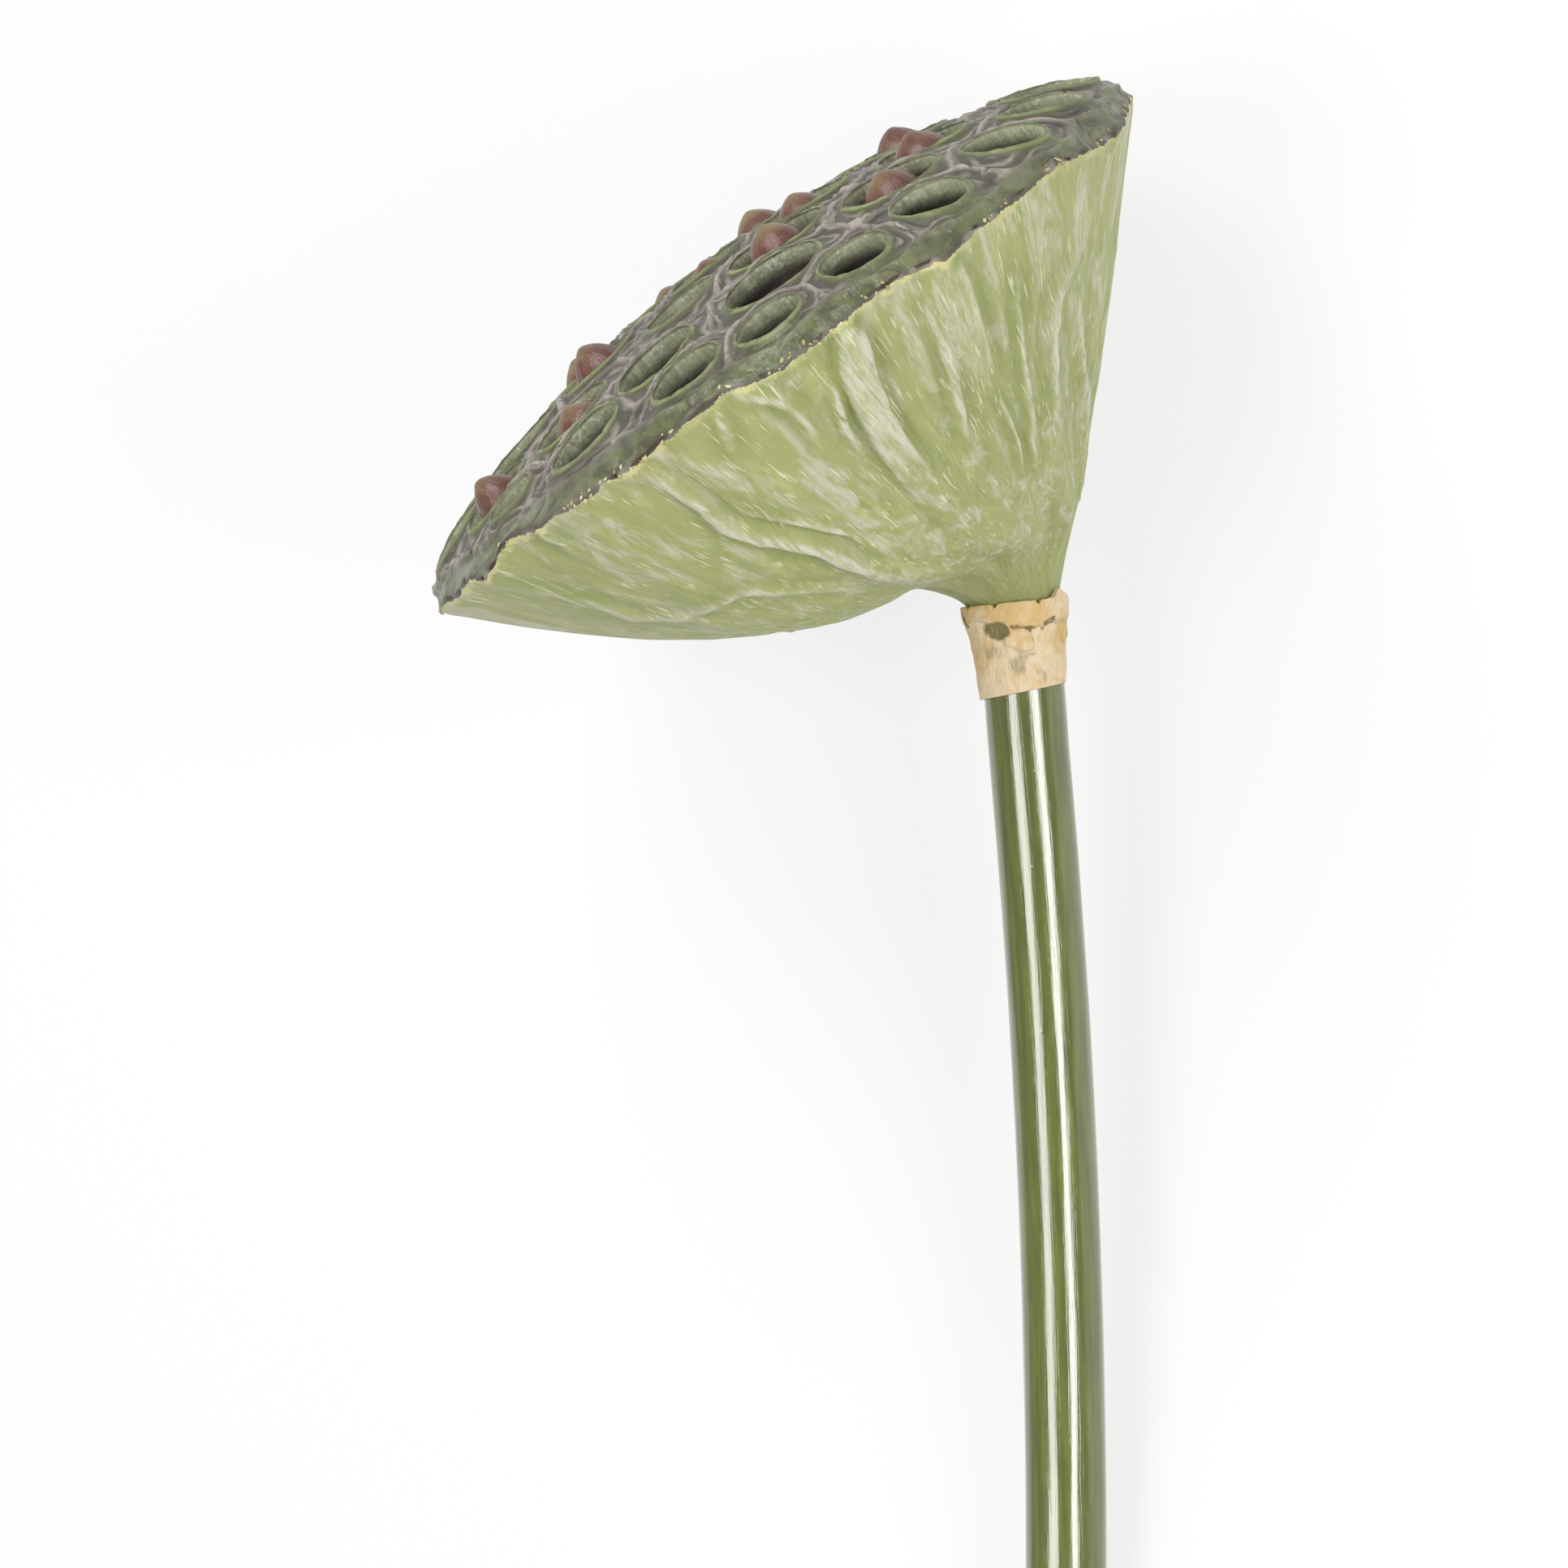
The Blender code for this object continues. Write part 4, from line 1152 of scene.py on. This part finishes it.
class LOTUS_OT_crumbs(bpy.types.Operator):
    """Makes the tiny dry crumbs that cling to the rim"""

    bl_idname = "lotus.crumbs"
    bl_label = "Rim crumbs"

    def execute(self, context):
        look = context.scene.lotus_crumbs
        pod = bpy.data.objects["pod_flesh"]
        points, normals = points_of(pod), normals_of(pod)
        edge = read_value(pod, "edge")
        spots = np.flatnonzero((edge > -1.3) & (edge < 0.6) & (points[:, 2] > 1.5))
        spots = spots[rough(points[spots], 5.0, 3.0) > 0.02]
        draw = random.Random(11)
        crumbs = []
        for _ in range(look.count):
            spot = int(draw.choice(spots))
            size = look.size * draw.uniform(0.3, 1.0) ** 1.5
            deselect()
            centre = points[spot] * MM + normals[spot] * size * 0.3
            bpy.ops.mesh.primitive_ico_sphere_add(subdivisions=1, radius=size, location=centre)
            crumb = bpy.context.object
            for vert in crumb.data.vertices:
                vert.co *= draw.uniform(0.6, 1.3)
            lying = Vector(normals[spot]).orthogonal()
            lying.rotate(Matrix.Rotation(draw.uniform(0, pi), 3, Vector(normals[spot])))
            crumb.data.transform(Matrix.Scale(0.45, 4, Vector(normals[spot])))
            crumb.data.transform(Matrix.Scale(draw.uniform(1.0, 2.0), 4, lying))
            crumbs.append(crumb)
        crumb = join_all(crumbs)
        crumb.name = crumb.data.name = "rim_crumbs"
        bpy.ops.object.transform_apply(location=True, rotation=True, scale=True)
        place_points(crumb, points_of(crumb))
        paint = Paint("lotus_crumb")
        tint = paint.noise(paint.place(), 700, 2, 0.5)
        dry = paint.lay(look.yellow, look.brown, tint, 0.35, 0.65)
        paint.finish(crumb, Base_Color=dry, Roughness=0.7, Normal=paint.bump(tint, 0.0001))
        finish_piece(crumb, "pod_flesh")
        return {"FINISHED"}


# The stage

# The camera's own axes, and the point that it aims at
TOWARDS = Vector((0.44215, -0.10624, 0.89063))
UP = Vector((0.0, 0.99296, 0.11845))
RIGHT = Vector((0.89694, 0.05237, -0.43904))
AIM = Vector((-1.69, 16.97, 34.54)) * MM
PICTURE = 193.2 * MM  # what the picture spans at the aim
LIT = Vector((0.0, 0.0, 0.03))  # what the lights face
LIGHTS_ROUND = Vector((0.0, -0.01, 0.03))  # what they stand round
SENSOR = 36.0
# Lights: how far to the right, up and towards the camera, distance, size and power
LIGHTS = {
    "light_right": (sin(radians(29)), 0.0, cos(radians(29)), 0.75, (0.27, 0.38), 3.0),
    "light_left": (-sin(radians(35)), 0.0, cos(radians(35)), 0.80, (0.36, 0.38), 2.9),
    "light_above": (-0.50, 0.70, 0.50, 1.1, (0.55, 0.55), 6.0),
}


def placed(place, right, up, back):
    """Where a light or the camera stands, and which way it is turned."""
    return Matrix.LocRotScale(place, Matrix((right, up, back)).transposed().to_quaternion(), None)


def add_light(name, place, size, power):
    """A flat soft light of (width, height) that faces the object, its height along the stem."""
    deselect()
    bpy.ops.object.light_add(type="AREA", location=place)
    light = bpy.context.object
    light.name = name
    light.data.shape = "RECTANGLE"
    light.data.size, light.data.size_y = size
    light.data.energy = power
    away = (place - LIT).normalized()
    tall = (UP - away * UP.dot(away)).normalized()
    across = tall.cross(away)
    light.matrix_world = placed(place, across, tall, away)


class LOTUS_OT_stage(bpy.types.Operator):
    """Makes the pale floor, the soft lights and the camera"""

    bl_idname = "lotus.stage"
    bl_label = "Stage"

    def execute(self, context):
        look = context.scene.lotus_stage
        deselect()
        bpy.ops.mesh.primitive_plane_add(size=6.0, location=(0, 0, 0))
        floor = bpy.context.object
        floor.name = "floor"
        paint = Paint("studio_floor")
        grain = paint.noise(paint.place(), 3.0, 2, 0.5)
        pale = tuple(look.floor)
        paint.finish(
            floor, Base_Color=paint.mix(grain, pale, tuple(0.99 * c for c in pale)), Roughness=0.9,
            Specular_IOR_Level=0.1, Emission_Color=(1.0, 1.0, 1.0), Emission_Strength=look.glow,
        )

        world = bpy.data.worlds.new("studio")
        world.use_nodes = True
        background = world.node_tree.nodes["Background"]
        background.inputs["Color"].default_value = (1.0, 1.0, 1.0, 1.0)
        background.inputs["Strength"].default_value = look.sky
        context.scene.world = world
        context.scene.view_settings.view_transform = "Standard"

        for name, (right, up, towards, distance, size, power) in LIGHTS.items():
            way = right * RIGHT + up * UP + towards * TOWARDS
            add_light(name, LIGHTS_ROUND + way * distance, size, power)

        stand = AIM + TOWARDS * look.distance
        bpy.ops.object.camera_add(location=stand)
        camera = bpy.context.object
        camera.name = "camera"
        camera.matrix_world = placed(stand, RIGHT, UP, TOWARDS)
        camera.data.sensor_width = SENSOR
        camera.data.lens = SENSOR * look.distance / PICTURE
        camera.data.clip_start, camera.data.clip_end = 0.05, 20.0
        context.scene.camera = camera
        return {"FINISHED"}


OPERATORS = (
    LOTUS_OT_flesh, LOTUS_OT_seeds, LOTUS_OT_collar, LOTUS_OT_stem, LOTUS_OT_crumbs, LOTUS_OT_stage
)


class LOTUS_PT_sidebar(bpy.types.Panel):
    """Lists the pieces of the lotus pod"""

    bl_label = "Lotus pod"
    bl_idname = "LOTUS_PT_sidebar"
    bl_space_type = "VIEW_3D"
    bl_region_type = "UI"
    bl_category = "Lotus"

    def draw(self, context):
        for operator, group in zip(OPERATORS, LOOKS):
            box = self.layout.box()
            box.operator(operator.bl_idname)
            settings = getattr(context.scene, group)
            for name in settings.__annotations__:
                box.prop(settings, name)


def register():
    for group in LOOKS.values():
        bpy.utils.register_class(group)
    for name, group in LOOKS.items():
        setattr(bpy.types.Scene, name, PointerProperty(type=group))
    for operator in OPERATORS:
        bpy.utils.register_class(operator)
    bpy.utils.register_class(LOTUS_PT_sidebar)


def unregister():
    bpy.utils.unregister_class(LOTUS_PT_sidebar)
    for operator in reversed(OPERATORS):
        bpy.utils.unregister_class(operator)
    for name in LOOKS:
        delattr(bpy.types.Scene, name)
    for group in reversed(LOOKS.values()):
        bpy.utils.unregister_class(group)


def main():
    register()
    bpy.ops.lotus.flesh()
    bpy.ops.lotus.seeds()
    bpy.ops.lotus.collar()
    bpy.ops.lotus.stem()
    bpy.ops.lotus.crumbs()
    bpy.ops.lotus.stage()


if __name__ == "__main__":
    main()
